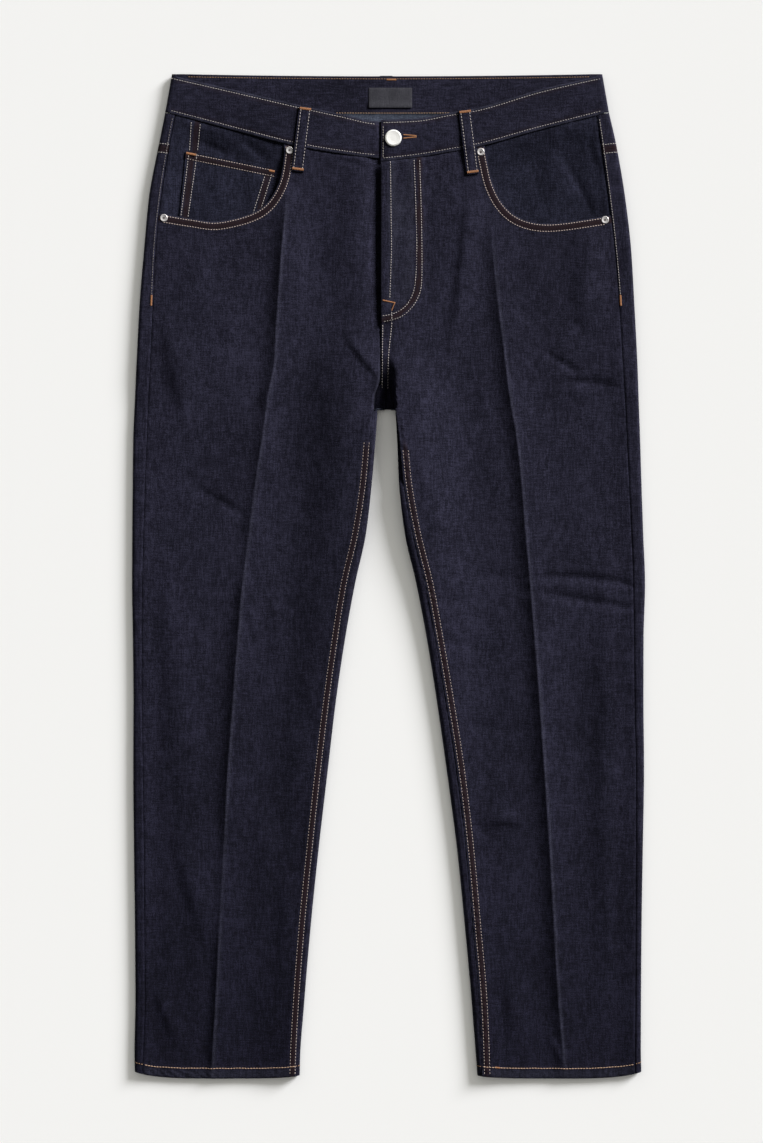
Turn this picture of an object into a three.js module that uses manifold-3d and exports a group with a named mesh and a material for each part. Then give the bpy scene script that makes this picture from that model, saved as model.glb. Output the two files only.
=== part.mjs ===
// Carrot fit jeans, laid flat with the front up, in the true cut of a five-pocket denim trouser.
// Millimetres, +Z up. The waist is towards +Y, the hems are towards -Y, and the wearer's right
// side is at -X. The back panels lie on the ground plane Z = 0 and the fronts lie on them.
import * as THREE from 'three';
import { mergeVertices } from 'three/addons/utils/BufferGeometryUtils.js';
import Module from 'manifold-3d';

// Cloth and clearances
const denim = 1.8; // one layer of the main cloth
const seamGap = 0.3; // clearance between neighbouring pieces
const bandThickness = 2.4; // the folded waistband
const lightCloth = 1.2; // pocket facings and patch pockets
const hemThickness = 2.4; // the turned-up hem

// Whole garment
const waistTop = 512.5; // top edge of the waistband at the back
const waistSeam = 473; // waistband to yoke at the back and sides
const hemLine = -512.5; // lowest point of both hems
const hemLift = 7; // how much the hem curves up at its outer folds
const hemLiftInner = 3.2; // and at its inner folds
const crotchPoint = 191; // where the fronts part
const forkEdge = 170; // fold at the foot of the crotch patch
const forkTop = 199; // where the patch has run out under the fronts
const centreBack = -2.4; // seat seam

// Heights of the flattened tube
const seatLift = 1.5; // the seat is raised on the back pockets and loops
const legFold = 7.4; // height of the rounded side folds on the legs
const hipFold = 7.6;
const legMiddle = 5.2; // height between the folds of a leg
const hipMiddle = 7.1;
const forkHeight = 3.9; // back crotch patch, lower than the fronts beside it
const creaseHeight = 2.2; // pressed centre crease
const creaseReach = 7;
const flyDip = 2.4; // the right front sinks under the fly edge
const flyEdge = -7.8;
const flyBottom = 258;

// Outline of each leg seen from above, from the waist down. outer and inner are the side folds,
// outseam and inseam the edges of the front panel, crease the pressed line.
const rightLeg = {
  name: 'right',
  side: -1,
  rows: [
    { y: 473, outer: -227.8, outseam: -217, inseam: -1.8 },
    { y: 442, outer: -234, outseam: -223, inseam: -1.8 },
    { y: 386, outer: -244.5, outseam: -232, crease: -112, inseam: -1.8 },
    { y: 333, outer: -249.5, outseam: -237.5, crease: -115, inseam: -1.8 },
    { y: 281, outer: -253.8, outseam: -240, crease: -118, inseam: -1.8 },
    { y: 262, inseam: -1.8 },
    { y: 254, inseam: -8 },
    { y: 215, outer: -257.3, outseam: -243, crease: -120.5, inseam: -8.2 },
    { y: 200, inseam: -8.8 },
    { y: 185, outer: -258.7, outseam: -244.7, crease: -123, inseam: -13.5 },
    { y: 170, outer: -259.4, outseam: -245.4, inseam: -14.9, inner: -10.8 },
    { y: 142, outer: -260.6, outseam: -246.3, crease: -128.6, inseam: -18.2, inner: -13 },
    { y: 96, outer: -261.2, outseam: -248.2, crease: -135.5, inseam: -22.5, inner: -16.9 },
    { y: 44, outer: -261.6, outseam: -249.8, crease: -142, inseam: -30.4, inner: -22.9 },
    { y: -8, outer: -261.8, outseam: -251, crease: -149, inseam: -42.3, inner: -34.2 },
    { y: -65, outer: -261, outseam: -251.5, crease: -154, inseam: -51.5, inner: -44.5 },
    { y: -126, outer: -260.4, outseam: -251.3, crease: -158.7, inseam: -60, inner: -53.5 },
    { y: -198, outer: -260.6, outseam: -250.4, crease: -163.2, inseam: -68.6, inner: -62 },
    { y: -280, outer: -259.9, outseam: -249.4, crease: -167.5, inseam: -77.4, inner: -71.5 },
    { y: -356, outer: -258.9, outseam: -248.9, crease: -171.7, inseam: -85, inner: -79.3 },
    { y: -432, outer: -258.4, outseam: -248.3, crease: -176, inseam: -90.8, inner: -85.8 },
    { y: -490, outer: -259.4, outseam: -250, crease: -179, inseam: -94, inner: -89.8 },
    { y: -513, outer: -259, outseam: -250.3, crease: -180, inseam: -94.6, inner: -90.4 },
  ],
};

const leftLeg = {
  name: 'left',
  side: 1,
  rows: [
    { y: 473, outer: 224.8, outseam: 212, inseam: -7.8 },
    { y: 442, outer: 231.9, outseam: 216.6, inseam: -7.8 },
    { y: 386, outer: 241.4, outseam: 224.3, crease: 104, inseam: -7.8 },
    { y: 333, outer: 247.5, outseam: 230.4, crease: 108, inseam: -7.8 },
    { y: 281, outer: 250.6, outseam: 234.8, crease: 112, inseam: -7.8 },
    { y: 215, outer: 254, outseam: 239, crease: 118.5, inseam: -7.7 },
    { y: 198, inseam: -6 },
    { y: 190, inseam: -0.5 },
    { y: 183, outer: 255.2, outseam: 240.9, crease: 122.5, inseam: 3 },
    { y: 170, outer: 255.7, outseam: 241.6, inseam: 6.4, inner: 6 },
    { y: 142, outer: 256.7, outseam: 243, crease: 129.5, inseam: 10.4, inner: 7.6 },
    { y: 96, outer: 258.1, outseam: 245.2, crease: 135.7, inseam: 15, inner: 10.4 },
    { y: 44, outer: 259.9, outseam: 247.6, crease: 140.9, inseam: 24.3, inner: 16.4 },
    { y: -8, outer: 261.8, outseam: 249.5, crease: 144.9, inseam: 37, inner: 28.3 },
    { y: -65, outer: 260.3, outseam: 250.4, crease: 148.9, inseam: 47.6, inner: 39.2 },
    { y: -126, outer: 260.2, outseam: 250.8, crease: 153.4, inseam: 58, inner: 49 },
    { y: -198, outer: 260.8, outseam: 252.3, crease: 158.7, inseam: 69.2, inner: 59.3 },
    { y: -280, outer: 259.5, outseam: 252.3, crease: 164.8, inseam: 78.8, inner: 70 },
    { y: -356, outer: 258.3, outseam: 252, crease: 169, inseam: 85.6, inner: 77.7 },
    { y: -432, outer: 257.7, outseam: 251.8, crease: 171.5, inseam: 92, inner: 84.6 },
    { y: -490, outer: 257.5, outseam: 251.3, crease: 177, inseam: 94.6, inner: 89 },
    { y: -513, outer: 258, outseam: 251.3, crease: 178, inseam: 95.2, inner: 90.6 },
  ],
};

// Lower and upper edge of the front waistband, dipping from the side folds to the centre.
const frontBand = {
  right: [
    { x: -227.8, lower: 473, upper: 511.5 },
    { x: -190, lower: 463.6, upper: 501.8 },
    { x: -146, lower: 452.2, upper: 490.8 },
    { x: -95, lower: 439.4, upper: 479 },
    { x: -50, lower: 431.6, upper: 469.2 },
    { x: -12, lower: 427.2, upper: 461.8 },
    { x: 20, lower: 426.5, upper: 461.6 },
  ],
  left: [
    { x: -8, lower: 423.4, upper: 463.6 },
    { x: 27, lower: 427.2, upper: 464.6 },
    { x: 64, lower: 433.4, upper: 470.8 },
    { x: 90, lower: 438.2, upper: 475.2 },
    { x: 153, lower: 455.4, upper: 493.8 },
    { x: 190, lower: 464.6, upper: 503.2 },
    { x: 224.8, lower: 473, upper: 511.5 },
  ],
};

// Curved pocket mouths, from the waist seam round to the outseam.
const pocketMouth = {
  right: [
    { x: -107.2, y: 445 },
    { x: -106.5, y: 426.5 },
    { x: -113.5, y: 396.4 },
    { x: -132.9, y: 373.2 },
    { x: -172, y: 361.6 },
    { x: -201, y: 364.3 },
    { x: -236, y: 370 },
  ],
  left: [
    { x: 96.8, y: 445 },
    { x: 100.3, y: 424.9 },
    { x: 106.3, y: 399.7 },
    { x: 116.6, y: 379.6 },
    { x: 132, y: 366 },
    { x: 153.4, y: 359.8 },
    { x: 180.1, y: 360.7 },
    { x: 229, y: 368 },
  ],
};

// Soft folds across the fronts: centre, length, width, height and direction in degrees.
const frontFolds = [
  { x: -78, y: 300, length: 130, width: 16, height: 1, angle: 84 },
  { x: 76, y: 300, length: 120, width: 14, height: -0.9, angle: 100 },
  { x: -28, y: 222, length: 60, width: 12, height: 0.9, angle: 118 },
  { x: 206, y: 8, length: 90, width: 10, height: 0.9, angle: 4 },
  { x: 96, y: -2, length: 70, width: 12, height: 0.7, angle: -6 },
];

const pocketDepth = 26; // facing cloth that runs on under the front panel
const facingBelow = denim + lightCloth + 2 * seamGap; // facing surface below the front's

const coinPocket = {
  corners: [
    { x: -206.6, y: 433.2 },
    { x: -115.6, y: 414.8 },
    { x: -131, y: 352 },
    { x: -214.5, y: 352 },
  ],
};

const backPocket = {
  width: 142,
  height: 150,
  point: 18, // how far the tip drops below the lower corners
  taper: 9, // each side leans in towards the bottom
  centreX: 104,
  topY: 398,
};

const loopWidth = 12.6;
const loopThickness = 1.8;
const frontLoops = [
  { name: 'belt_loop_front_right', top: { x: -84.5, y: 477.6 }, foot: { x: -92.6, y: 412.6 } },
  { name: 'belt_loop_front_left', top: { x: 77.7, y: 474.6 }, foot: { x: 86, y: 409.8 } },
];
const backLoops = [
  { name: 'belt_loop_back_right', x: -136 },
  { name: 'belt_loop_back_centre', x: centreBack },
  { name: 'belt_loop_back_left', x: 131 },
];
const backLoopTop = 511;
const backLoopFoot = 452;

const button = { x: 4.9, y: 446.4, radius: 8.5, height: 2.6 };
const rivets = [
  { name: 'rivet_right_inner', x: -100.9, y: 434 },
  { name: 'rivet_right_outer', x: -229, y: 365 },
  { name: 'rivet_left_inner', x: 93.9, y: 432.4 },
  { name: 'rivet_left_outer', x: 220.6, y: 363 },
];
const rivetRadius = 3.9;
const rivetHeight = 1.1;

const label = { width: 44, height: 20.4, thickness: 0.8, x: 2, y: 488.2 };

// Colours of the finished piece
const colours = {
  denim: { color: 0x1b1a26, roughness: 0.9, metalness: 0 },
  metal: { color: 0xc9c8c4, roughness: 0.35, metalness: 1 },
  label: { color: 0x3c3b42, roughness: 0.9, metalness: 0 },
};

const wasm = await Module();
wasm.setup();

const clamp = THREE.MathUtils.clamp;
const mix = THREE.MathUtils.lerp;
const smooth = THREE.MathUtils.smoothstep;

// A column of a table as a smooth function of another column, with no overshoot.
function readColumn(rows, key, column) {
  const given = rows.filter((row) => row[column] !== undefined);
  const ordered = given.sort((a, b) => a[key] - b[key]);
  const at = ordered.map((row) => row[key]);
  const values = ordered.map((row) => row[column]);
  const steps = values.slice(1).map((value, i) => (value - values[i]) / (at[i + 1] - at[i]));
  const slopes = values.map((_, i) => {
    const before = steps[Math.max(i - 1, 0)];
    const after = steps[Math.min(i, steps.length - 1)];
    return before * after > 0 ? (2 * before * after) / (before + after) : 0;
  });
  return (wanted) => {
    const where = clamp(wanted, at[0], at[at.length - 1]);
    let i = 0;
    while (i < at.length - 2 && where > at[i + 1]) i += 1;
    const span = at[i + 1] - at[i];
    const t = (where - at[i]) / span;
    const rise = values[i + 1] - values[i];
    const a = slopes[i] * span - rise;
    const b = rise - slopes[i + 1] * span;
    return values[i] + rise * t + t * (1 - t) * (a * (1 - t) + b * t);
  };
}

for (const leg of [rightLeg, leftLeg]) {
  for (const column of ['outer', 'outseam', 'crease', 'inseam', 'inner']) {
    leg[column] = readColumn(leg.rows, 'y', column);
  }
  leg.bandLower = readColumn(frontBand[leg.name], 'x', 'lower');
  leg.bandUpper = readColumn(frontBand[leg.name], 'x', 'upper');
}

// 0 on the legs, 1 over the seat
const seat = (y) => smooth(y, 172, 216);
const baseAt = (y) => seatLift * seat(y);
const foldAt = (y) => mix(legFold, hipFold, seat(y));
const middleAt = (y) => mix(legMiddle, hipMiddle, smooth(y, 60, 230));

function foldsAt(x, y) {
  let height = 0;
  for (const fold of frontFolds) {
    const turn = THREE.MathUtils.degToRad(fold.angle);
    const along = (x - fold.x) * Math.cos(turn) + (y - fold.y) * Math.sin(turn);
    const across = (y - fold.y) * Math.cos(turn) - (x - fold.x) * Math.sin(turn);
    const reach = (2 * along) / fold.length;
    height += fold.height * Math.exp(-(reach ** 4) - (across / fold.width) ** 2);
  }
  return height;
}

// Where the front starts to round off on its inner side: the fold of the leg, and above the
// crotch a line that moves away past the centre.
function innerLimit(leg, y) {
  if (y < forkEdge) return leg.inner(y);
  const lap = leg.inseam(forkEdge) - leg.inner(forkEdge);
  return leg.inseam(y) - lap - leg.side * 60 * smooth(y, forkEdge, 250);
}

// Height of the upper surface of the laid-flat tube at a point of its plan, without soft folds.
function plainTop(leg, x, y) {
  const radius = foldAt(y) / 2;
  const fromOuter = Math.abs(x - leg.outer(y));
  const fromInner = Math.max((x - innerLimit(leg, y)) * leg.side, 0);
  const inside = Math.min(fromOuter, fromInner);
  const roll = Math.min(inside / radius, 1);
  const rounded = radius * (1 + Math.sqrt(1 - (1 - roll) ** 2));
  const settled = mix(foldAt(y), middleAt(y), smooth(inside, radius, radius + 24));
  const height = roll < 1 ? rounded : settled;
  const fromCrease = Math.abs(x - leg.crease(y)) / creaseReach;
  const ridge = creaseHeight * Math.exp(-(fromCrease ** 1.5));
  const ridgeFade = 1 - smooth(y, 250, 330);
  return baseAt(y) + height + ridge * ridgeFade;
}

const topAt = (leg, x, y) => plainTop(leg, x, y) + foldsAt(x, y);

// Depth of the trough where the right front goes in under the edge of the fly.
function flyTrough(x, y) {
  const across = smooth(x, flyEdge - 16, flyEdge - 1);
  const along = smooth(y, flyBottom - 45, flyBottom - 24);
  return flyDip * across * along;
}

// A closed wall of cloth: the given grid of points is its outer face, and the inner face lies
// its thickness behind. flipped is set where the columns run the other way round.
function clothWall(grid, thickness, flipped) {
  const rowCount = grid.length;
  const columnCount = grid[0].length;
  const toPoint = (row, column) => grid[clamp(row, 0, rowCount - 1)][clamp(column, 0, columnCount - 1)];
  const depthAt = typeof thickness === 'function' ? thickness : () => thickness;
  const outer = [];
  const inner = [];
  for (let row = 0; row < rowCount; row += 1) {
    for (let column = 0; column < columnCount; column += 1) {
      const across = toPoint(row, column + 1).clone().sub(toPoint(row, column - 1));
      const along = toPoint(row + 1, column).clone().sub(toPoint(row - 1, column));
      const normal = across.cross(along).normalize().multiplyScalar(flipped ? -1 : 1);
      const point = grid[row][column];
      outer.push(point);
      inner.push(point.clone().addScaledVector(normal, -depthAt(row, column)));
    }
  }
  const index = [];
  const offset = outer.length;
  const addQuad = (a, b, c, d) => {
    if (flipped) index.push(a, c, b, a, d, c);
    else index.push(a, b, c, a, c, d);
  };
  const at = (row, column) => row * columnCount + column;
  for (let row = 0; row + 1 < rowCount; row += 1) {
    for (let column = 0; column + 1 < columnCount; column += 1) {
      const a = at(row, column);
      const b = at(row, column + 1);
      const c = at(row + 1, column + 1);
      const d = at(row + 1, column);
      addQuad(a, b, c, d);
      addQuad(offset + a, offset + d, offset + c, offset + b);
    }
  }
  const rim = [];
  for (let column = 0; column < columnCount; column += 1) rim.push(at(0, column));
  for (let row = 1; row < rowCount; row += 1) rim.push(at(row, columnCount - 1));
  for (let column = columnCount - 2; column >= 0; column -= 1) rim.push(at(rowCount - 1, column));
  for (let row = rowCount - 2; row > 0; row -= 1) rim.push(at(row, 0));
  rim.forEach((from, i) => {
    const to = rim[(i + 1) % rim.length];
    addQuad(offset + from, offset + to, to, from);
  });
  const geometry = new THREE.BufferGeometry();
  const positions = [...outer, ...inner].flatMap((point) => point.toArray());
  geometry.setAttribute('position', new THREE.Float32BufferAttribute(positions, 3));
  geometry.setIndex(index);
  return geometry;
}

function toSolid(geometry) {
  const plain = geometry.clone();
  plain.deleteAttribute('normal');
  plain.deleteAttribute('uv');
  const merged = mergeVertices(plain, 1e-4);
  const vertProperties = new Float32Array(merged.getAttribute('position').array);
  const triVerts = new Uint32Array(merged.getIndex().array);
  return new wasm.Manifold(new wasm.Mesh({ numProp: 3, vertProperties, triVerts }));
}

function toGeometry(solid) {
  const mesh = solid.getMesh();
  const geometry = new THREE.BufferGeometry();
  geometry.setAttribute('position', new THREE.Float32BufferAttribute(mesh.vertProperties, 3));
  geometry.setIndex([...mesh.triVerts]);
  return geometry;
}

const garment = new THREE.Group();

function addPiece(name, geometry, material) {
  const mesh = new THREE.Mesh(geometry, new THREE.MeshStandardMaterial(colours[material]));
  mesh.name = name;
  garment.add(mesh);
  return mesh;
}

// Rows of the panels: leg rows at fixed heights, then shares of the way up to the seam above.
const legRows = [
  -499.5, -498, -470, -420, -356, -280, -198, -126, -65, -8, 20, 44, 96, 142, 158, 169, 171.4, 181, 190, 200,
  215, 235, 258, 290, 333, 375,
];
const upperShares = [0.34, 0.67, 1];
const panelFoot = 375;

// The hem curves up towards both folds of the leg.
function hemCurve(leg, x, y) {
  const middle = (leg.outer(y) + leg.inner(y)) / 2;
  const half = Math.abs(leg.outer(y) - leg.inner(y)) / 2;
  const bend = (Math.abs(x - middle) / half) ** 4;
  const lift = (x - middle) * leg.side > 0 ? hemLift : hemLiftInner;
  return lift * bend * smooth(-y, -hemLine - 60, -hemLine);
}

// Front panel

const frontShares = [0, 0.08, 0.3, 0.7, 0.92, 1];

function frontX(leg, column, y) {
  const outseam = leg.outseam(y) - (leg.side * seamGap) / 2;
  const inseam = leg.inseam(y) + (leg.side * seamGap) / 2;
  const crease = leg.crease(y);
  const share = frontShares[column % frontShares.length];
  return column < frontShares.length ? mix(outseam, crease, share) : mix(crease, inseam, share);
}

function frontPoint(leg, column, level) {
  let y = level.y;
  let x = frontX(leg, column, y);
  if (level.share !== undefined) {
    for (let pass = 0; pass < 6; pass += 1) {
      y = mix(panelFoot, leg.bandLower(x) - seamGap, level.share);
      x = frontX(leg, column, y);
    }
  }
  const sunk = leg === rightLeg ? flyTrough(x, y) : 0;
  return new THREE.Vector3(x, y + hemCurve(leg, x, y), topAt(leg, x, y) - sunk);
}

function levels() {
  const fixed = [{ y: hemLine }, ...legRows.map((y) => ({ y }))];
  const shared = upperShares.map((share) => ({ y: panelFoot, share }));
  return [...fixed, ...shared];
}

const hemRows = 2;
const panelThickness = (row) => (row < hemRows ? hemThickness : denim);

// The crease is one column, so the second half starts just past it.
const frontColumns = [0, 1, 2, 3, 4, 5, 7, 8, 9, 10, 11];

function pocketCut(leg) {
  const points = pocketMouth[leg.name].map((point) => new THREE.Vector2(point.x, point.y));
  const curve = new THREE.SplineCurve(points);
  const outline = curve.getPoints(22);
  const shape = new THREE.Shape();
  shape.moveTo(outline[0].x, 520);
  for (const point of outline) shape.lineTo(point.x, point.y);
  shape.lineTo(leg.side * 300, outline[outline.length - 1].y);
  shape.lineTo(leg.side * 300, 520);
  shape.closePath();
  return new THREE.ExtrudeGeometry(shape, { depth: 40, bevelEnabled: false });
}

function addFront(leg) {
  const grid = levels().map((level) => frontColumns.map((column) => frontPoint(leg, column, level)));
  const panel = toSolid(clothWall(grid, panelThickness, leg.side > 0));
  const opened = panel.subtract(toSolid(pocketCut(leg)));
  addPiece(`front_${leg.name}`, toGeometry(opened), 'denim');
}

// Back panel and yoke

const rollSteps = [0, 0.2, 0.4, 0.6, 0.8, 1];
const bottomShares = [0.12, 0.5, 0.88];

// Inner end of a back section: a side fold on the leg, lower where the front laps over it, then
// the crotch patch between the fronts, and the plain seat seam above.
function innerEnd(leg, y) {
  const lapRoom = (leg.inseam(y) - leg.inner(y)) * leg.side;
  if (y < forkEdge) {
    const clear = smooth(lapRoom, 4, 5.6);
    const height = mix(forkHeight, foldAt(y), clear);
    const width = Math.min(height / 2, Math.max(lapRoom - 0.6, 2));
    return { fold: leg.inner(y) + leg.side * (1 - clear), height, width, closed: 1 };
  }
  const fold = centreBack + (leg.side * seamGap) / 2;
  return { fold, height: forkHeight, width: forkHeight / 2, closed: 1 - smooth(y, crotchPoint - 3, forkTop) };
}

// Outer face of the back section from the outseam, round the side fold, across the ground and
// up round the inner fold to the inseam.
function backSection(leg, y) {
  const base = baseAt(y);
  const outer = leg.outer(y);
  const inward = -leg.side;
  const radius = foldAt(y) / 2;
  const outseam = leg.outseam(y) + (leg.side * seamGap) / 2;
  const points = [new THREE.Vector2(outseam, topAt(leg, outseam, y))];
  for (const step of rollSteps) {
    const angle = Math.PI * step;
    const x = outer + inward * radius * (1 - Math.sin(angle));
    points.push(new THREE.Vector2(x, base + radius * (1 + Math.cos(angle))));
  }
  const end = innerEnd(leg, y);
  const from = outer + inward * radius;
  const to = end.fold - inward * 12;
  for (const share of bottomShares) points.push(new THREE.Vector2(mix(from, to, share), base));
  const inseam = leg.inseam(y) - (leg.side * seamGap) / 2;
  const reach = Math.max((end.fold - inseam) * inward, end.width + 0.5);
  rollSteps.forEach((step) => {
    const angle = Math.PI * step;
    const rolled = new THREE.Vector2(
      end.fold - inward * end.width * (1 - Math.sin(angle)),
      base + (end.height / 2) * (1 - Math.cos(angle)),
    );
    const flat = new THREE.Vector2(end.fold - inward * 9 * (1 - (step + 0.2) / 1.4), base);
    points.push(flat.lerp(rolled, end.closed));
  });
  const lap = new THREE.Vector2(end.fold - inward * reach, base + end.height);
  points.push(new THREE.Vector2(end.fold, base).lerp(lap, end.closed));
  return points;
}

const yokeSeamY = (leg, x, y) => 436.5 - 0.11 * Math.abs(x - leg.outer(y));

function backGrid(leg, rows) {
  return rows.map((level) => {
    const section = backSection(leg, level.y);
    return section.map((point, column) => {
      let { x, y: z } = point;
      let y = level.y;
      if (level.upTo) {
        for (let pass = 0; pass < 4; pass += 1) {
          y = mix(level.from(x, y), level.upTo(x, y, column), level.share);
          ({ x, y: z } = backSection(leg, y)[column]);
        }
      }
      return new THREE.Vector3(x, y + hemCurve(leg, x, level.y), z);
    });
  });
}

function addBack(leg) {
  const below = [{ y: hemLine }, ...legRows.map((y) => ({ y }))];
  const above = [0.5, 1].map((share) => ({
    y: panelFoot,
    share,
    from: () => panelFoot,
    upTo: (x, y) => yokeSeamY(leg, x, y) - seamGap / 2,
  }));
  const grid = backGrid(leg, [...below, ...above]);
  addPiece(`back_${leg.name}`, clothWall(grid, panelThickness, leg.side < 0), 'denim');
}

function addYoke(leg) {
  const rows = [0, 0.5, 1].map((share) => ({
    y: 450,
    share,
    from: (x, y) => yokeSeamY(leg, x, y) + seamGap / 2,
    upTo: (x, y, column) => (column < 2 ? leg.bandLower(x) : waistSeam) - seamGap,
  }));
  addPiece(`yoke_${leg.name}`, clothWall(backGrid(leg, rows), denim, leg.side < 0), 'denim');
}

// Waistband

const bandTopZ = baseAt(waistSeam) + hipFold + 0.1;
const bandRadius = (bandTopZ - seatLift) / 2;
const bandLean = 0.97; // the upper edge is shorter than the lower one

// Height of the band's upper face; the right end dips to pass under the left end.
function bandZ(leg, x) {
  if (leg === leftLeg) return bandTopZ;
  return bandTopZ - (bandThickness + seamGap + 0.1) * smooth(x, flyEdge - 18, flyEdge - 1);
}

function frontBandStation(leg, x) {
  const z = bandZ(leg, x);
  const upperX = x * bandLean;
  return {
    low: new THREE.Vector3(x, leg.bandLower(x) + seamGap / 2, z),
    high: new THREE.Vector3(upperX, leg.bandUpper(upperX), z),
  };
}

function sideBandStation(leg, angle) {
  const z = seatLift + bandRadius * (1 + Math.cos(angle));
  const inwards = bandRadius * (1 - Math.sin(angle));
  const lowX = leg.outer(waistSeam) - leg.side * inwards;
  const highX = leg.outer(waistSeam) * bandLean - leg.side * inwards;
  return {
    low: new THREE.Vector3(lowX, waistSeam + seamGap / 2, z),
    high: new THREE.Vector3(highX, waistTop - z / bandTopZ, z),
  };
}

function backBandStation(x) {
  const upperX = x * bandLean;
  const dip = 2.4 * (1 - (Math.abs(x) / 224) ** 2);
  return {
    low: new THREE.Vector3(x, waistSeam + seamGap / 2, seatLift),
    high: new THREE.Vector3(upperX, waistTop - dip, seatLift),
  };
}

function addWaistband() {
  const stations = [];
  const turn = [0, 0.2, 0.4, 0.6, 0.8, 1].map((share) => Math.PI * share);
  const rightX = [16, -6, -10, -14, -18, -22, -28, -50, -73, -96, -120, -146, -168, -190, -206, -217];
  const leftX = [214, 206, 190, 172, 153, 132, 110, 88, 64, 44, 26, 9, flyEdge];
  for (const x of rightX) stations.push(frontBandStation(rightLeg, x));
  for (const angle of turn) stations.push(sideBandStation(rightLeg, angle));
  for (const x of [-200, -160, -80, 0, 80, 160, 200]) stations.push(backBandStation(x));
  for (const angle of turn.toReversed()) stations.push(sideBandStation(leftLeg, angle));
  for (const x of leftX) stations.push(frontBandStation(leftLeg, x));
  const grid = [stations.map((station) => station.low), stations.map((station) => station.high)];
  addPiece('waistband', clothWall(grid, bandThickness, true), 'denim');
}

// Pockets

const facingShares = [0, 0.06, 0.16, 0.3, 0.45, 0.6, 0.75, 0.88, 1];
const facingRows = [0, 0.2, 0.4, 0.6, 0.8, 1];

function facingZ(leg, x, y) {
  return plainTop(leg, x, y) - facingBelow;
}

function addFacing(leg) {
  const mouth = pocketMouth[leg.name];
  const lowest = Math.min(...mouth.map((point) => point.y));
  const innerX = mouth[0].x - leg.side * pocketDepth;
  const foot = lowest - pocketDepth;
  const grid = facingRows.map((rowShare) => facingShares.map((share) => {
    let x = innerX;
    let y = foot;
    for (let pass = 0; pass < 6; pass += 1) {
      x = mix(leg.outseam(y) - leg.side * seamGap * 2, innerX, share);
      y = mix(foot, leg.bandLower(x) - seamGap, rowShare);
    }
    return new THREE.Vector3(x, y, facingZ(leg, x, y));
  }));
  addPiece(`pocket_facing_${leg.name}`, clothWall(grid, lightCloth, leg.side > 0), 'denim');
}

function addCoinPocket() {
  const [topLeft, topRight, footRight, footLeft] = coinPocket.corners;
  const shares = [0, 0.15, 0.4, 0.65, 0.85, 1];
  const grid = [0, 0.25, 0.5, 0.75, 1].map((up) => shares.map((share) => {
    const leftX = mix(footLeft.x, topLeft.x, up);
    const rightX = mix(footRight.x, topRight.x, up);
    const leftY = mix(footLeft.y, topLeft.y, up);
    const rightY = mix(footRight.y, topRight.y, up);
    const x = mix(leftX, rightX, share);
    const y = mix(leftY, rightY, share);
    return new THREE.Vector3(x, y, facingZ(rightLeg, x, y) + seamGap + lightCloth);
  }));
  addPiece('coin_pocket', clothWall(grid, lightCloth, false), 'denim');
}

function addBackPocket(leg) {
  const { width, height, point, taper, centreX, topY } = backPocket;
  const centre = centreBack + leg.side * centreX;
  const half = width / 2;
  const foot = topY - height;
  const shape = new THREE.Shape();
  shape.moveTo(centre - half, topY);
  shape.lineTo(centre - half + taper, foot + point);
  shape.lineTo(centre, foot);
  shape.lineTo(centre + half - taper, foot + point);
  shape.lineTo(centre + half, topY);
  shape.closePath();
  const geometry = new THREE.ExtrudeGeometry(shape, { depth: lightCloth, bevelEnabled: false });
  addPiece(`back_pocket_${leg.name}`, geometry, 'denim');
}

// Belt loops

// Upper surface of whatever lies under a front loop.
function underLoop(leg, x, y) {
  const panel = topAt(leg, x, y);
  return y > leg.bandLower(x) - 6 ? Math.max(bandTopZ, panel) : panel;
}

function addFrontLoop(loop) {
  const leg = loop.top.x < 0 ? rightLeg : leftLeg;
  const lean = Math.atan2(loop.top.x - loop.foot.x, loop.top.y - loop.foot.y);
  const across = new THREE.Vector3(Math.cos(lean), -Math.sin(lean), 0).multiplyScalar(loopWidth / 2);
  const grid = [0, 0.2, 0.32, 0.44, 0.6, 0.8, 1].map((up) => {
    const x = mix(loop.foot.x, loop.top.x, up);
    const y = mix(loop.foot.y, loop.top.y, up);
    const z = underLoop(leg, x, y) + seamGap * 2 + loopThickness;
    const middle = new THREE.Vector3(x, y, z);
    return [middle.clone().sub(across), middle, middle.clone().add(across)];
  });
  addPiece(loop.name, clothWall(grid, loopThickness, false), 'denim');
}

function addBackLoop(loop) {
  const length = backLoopTop - backLoopFoot;
  const geometry = new THREE.BoxGeometry(loopWidth, length, lightCloth);
  const mesh = addPiece(loop.name, geometry, 'denim');
  mesh.position.set(loop.x, backLoopFoot + length / 2, lightCloth / 2);
}

// Metal and label

// A round cap with a rolled rim and a shallow dish, standing on its flat back.
function capGeometry(radius, height, dish, segments) {
  const profile = [
    [0, 0],
    [radius * 0.86, 0],
    [radius, height * 0.3],
    [radius * 0.97, height * 0.72],
    [radius * 0.84, height],
    [radius * 0.66, height - dish * 0.5],
    [radius * 0.4, height - dish],
    [0, height - dish],
  ].map(([r, z]) => new THREE.Vector2(r, z));
  const cap = new THREE.LatheGeometry(profile, segments);
  cap.rotateX(Math.PI / 2);
  return cap;
}

function addButton() {
  const mesh = addPiece('button', capGeometry(button.radius, button.height, 0.5, 28), 'metal');
  mesh.position.set(button.x, button.y, bandTopZ + seamGap);
}

function addRivet(rivet) {
  const leg = rivet.x < 0 ? rightLeg : leftLeg;
  const mesh = addPiece(rivet.name, capGeometry(rivetRadius, rivetHeight, 0.45, 16), 'metal');
  const around = [-1, 1].map((way) => topAt(leg, rivet.x + way * rivetRadius, rivet.y));
  mesh.position.set(rivet.x, rivet.y, Math.max(...around, topAt(leg, rivet.x, rivet.y)) + seamGap);
}

function addLabel() {
  const mesh = addPiece('label', new THREE.BoxGeometry(label.width, label.height, label.thickness), 'label');
  mesh.position.set(label.x, label.y, seatLift + bandThickness + seamGap + label.thickness / 2);
}

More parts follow.
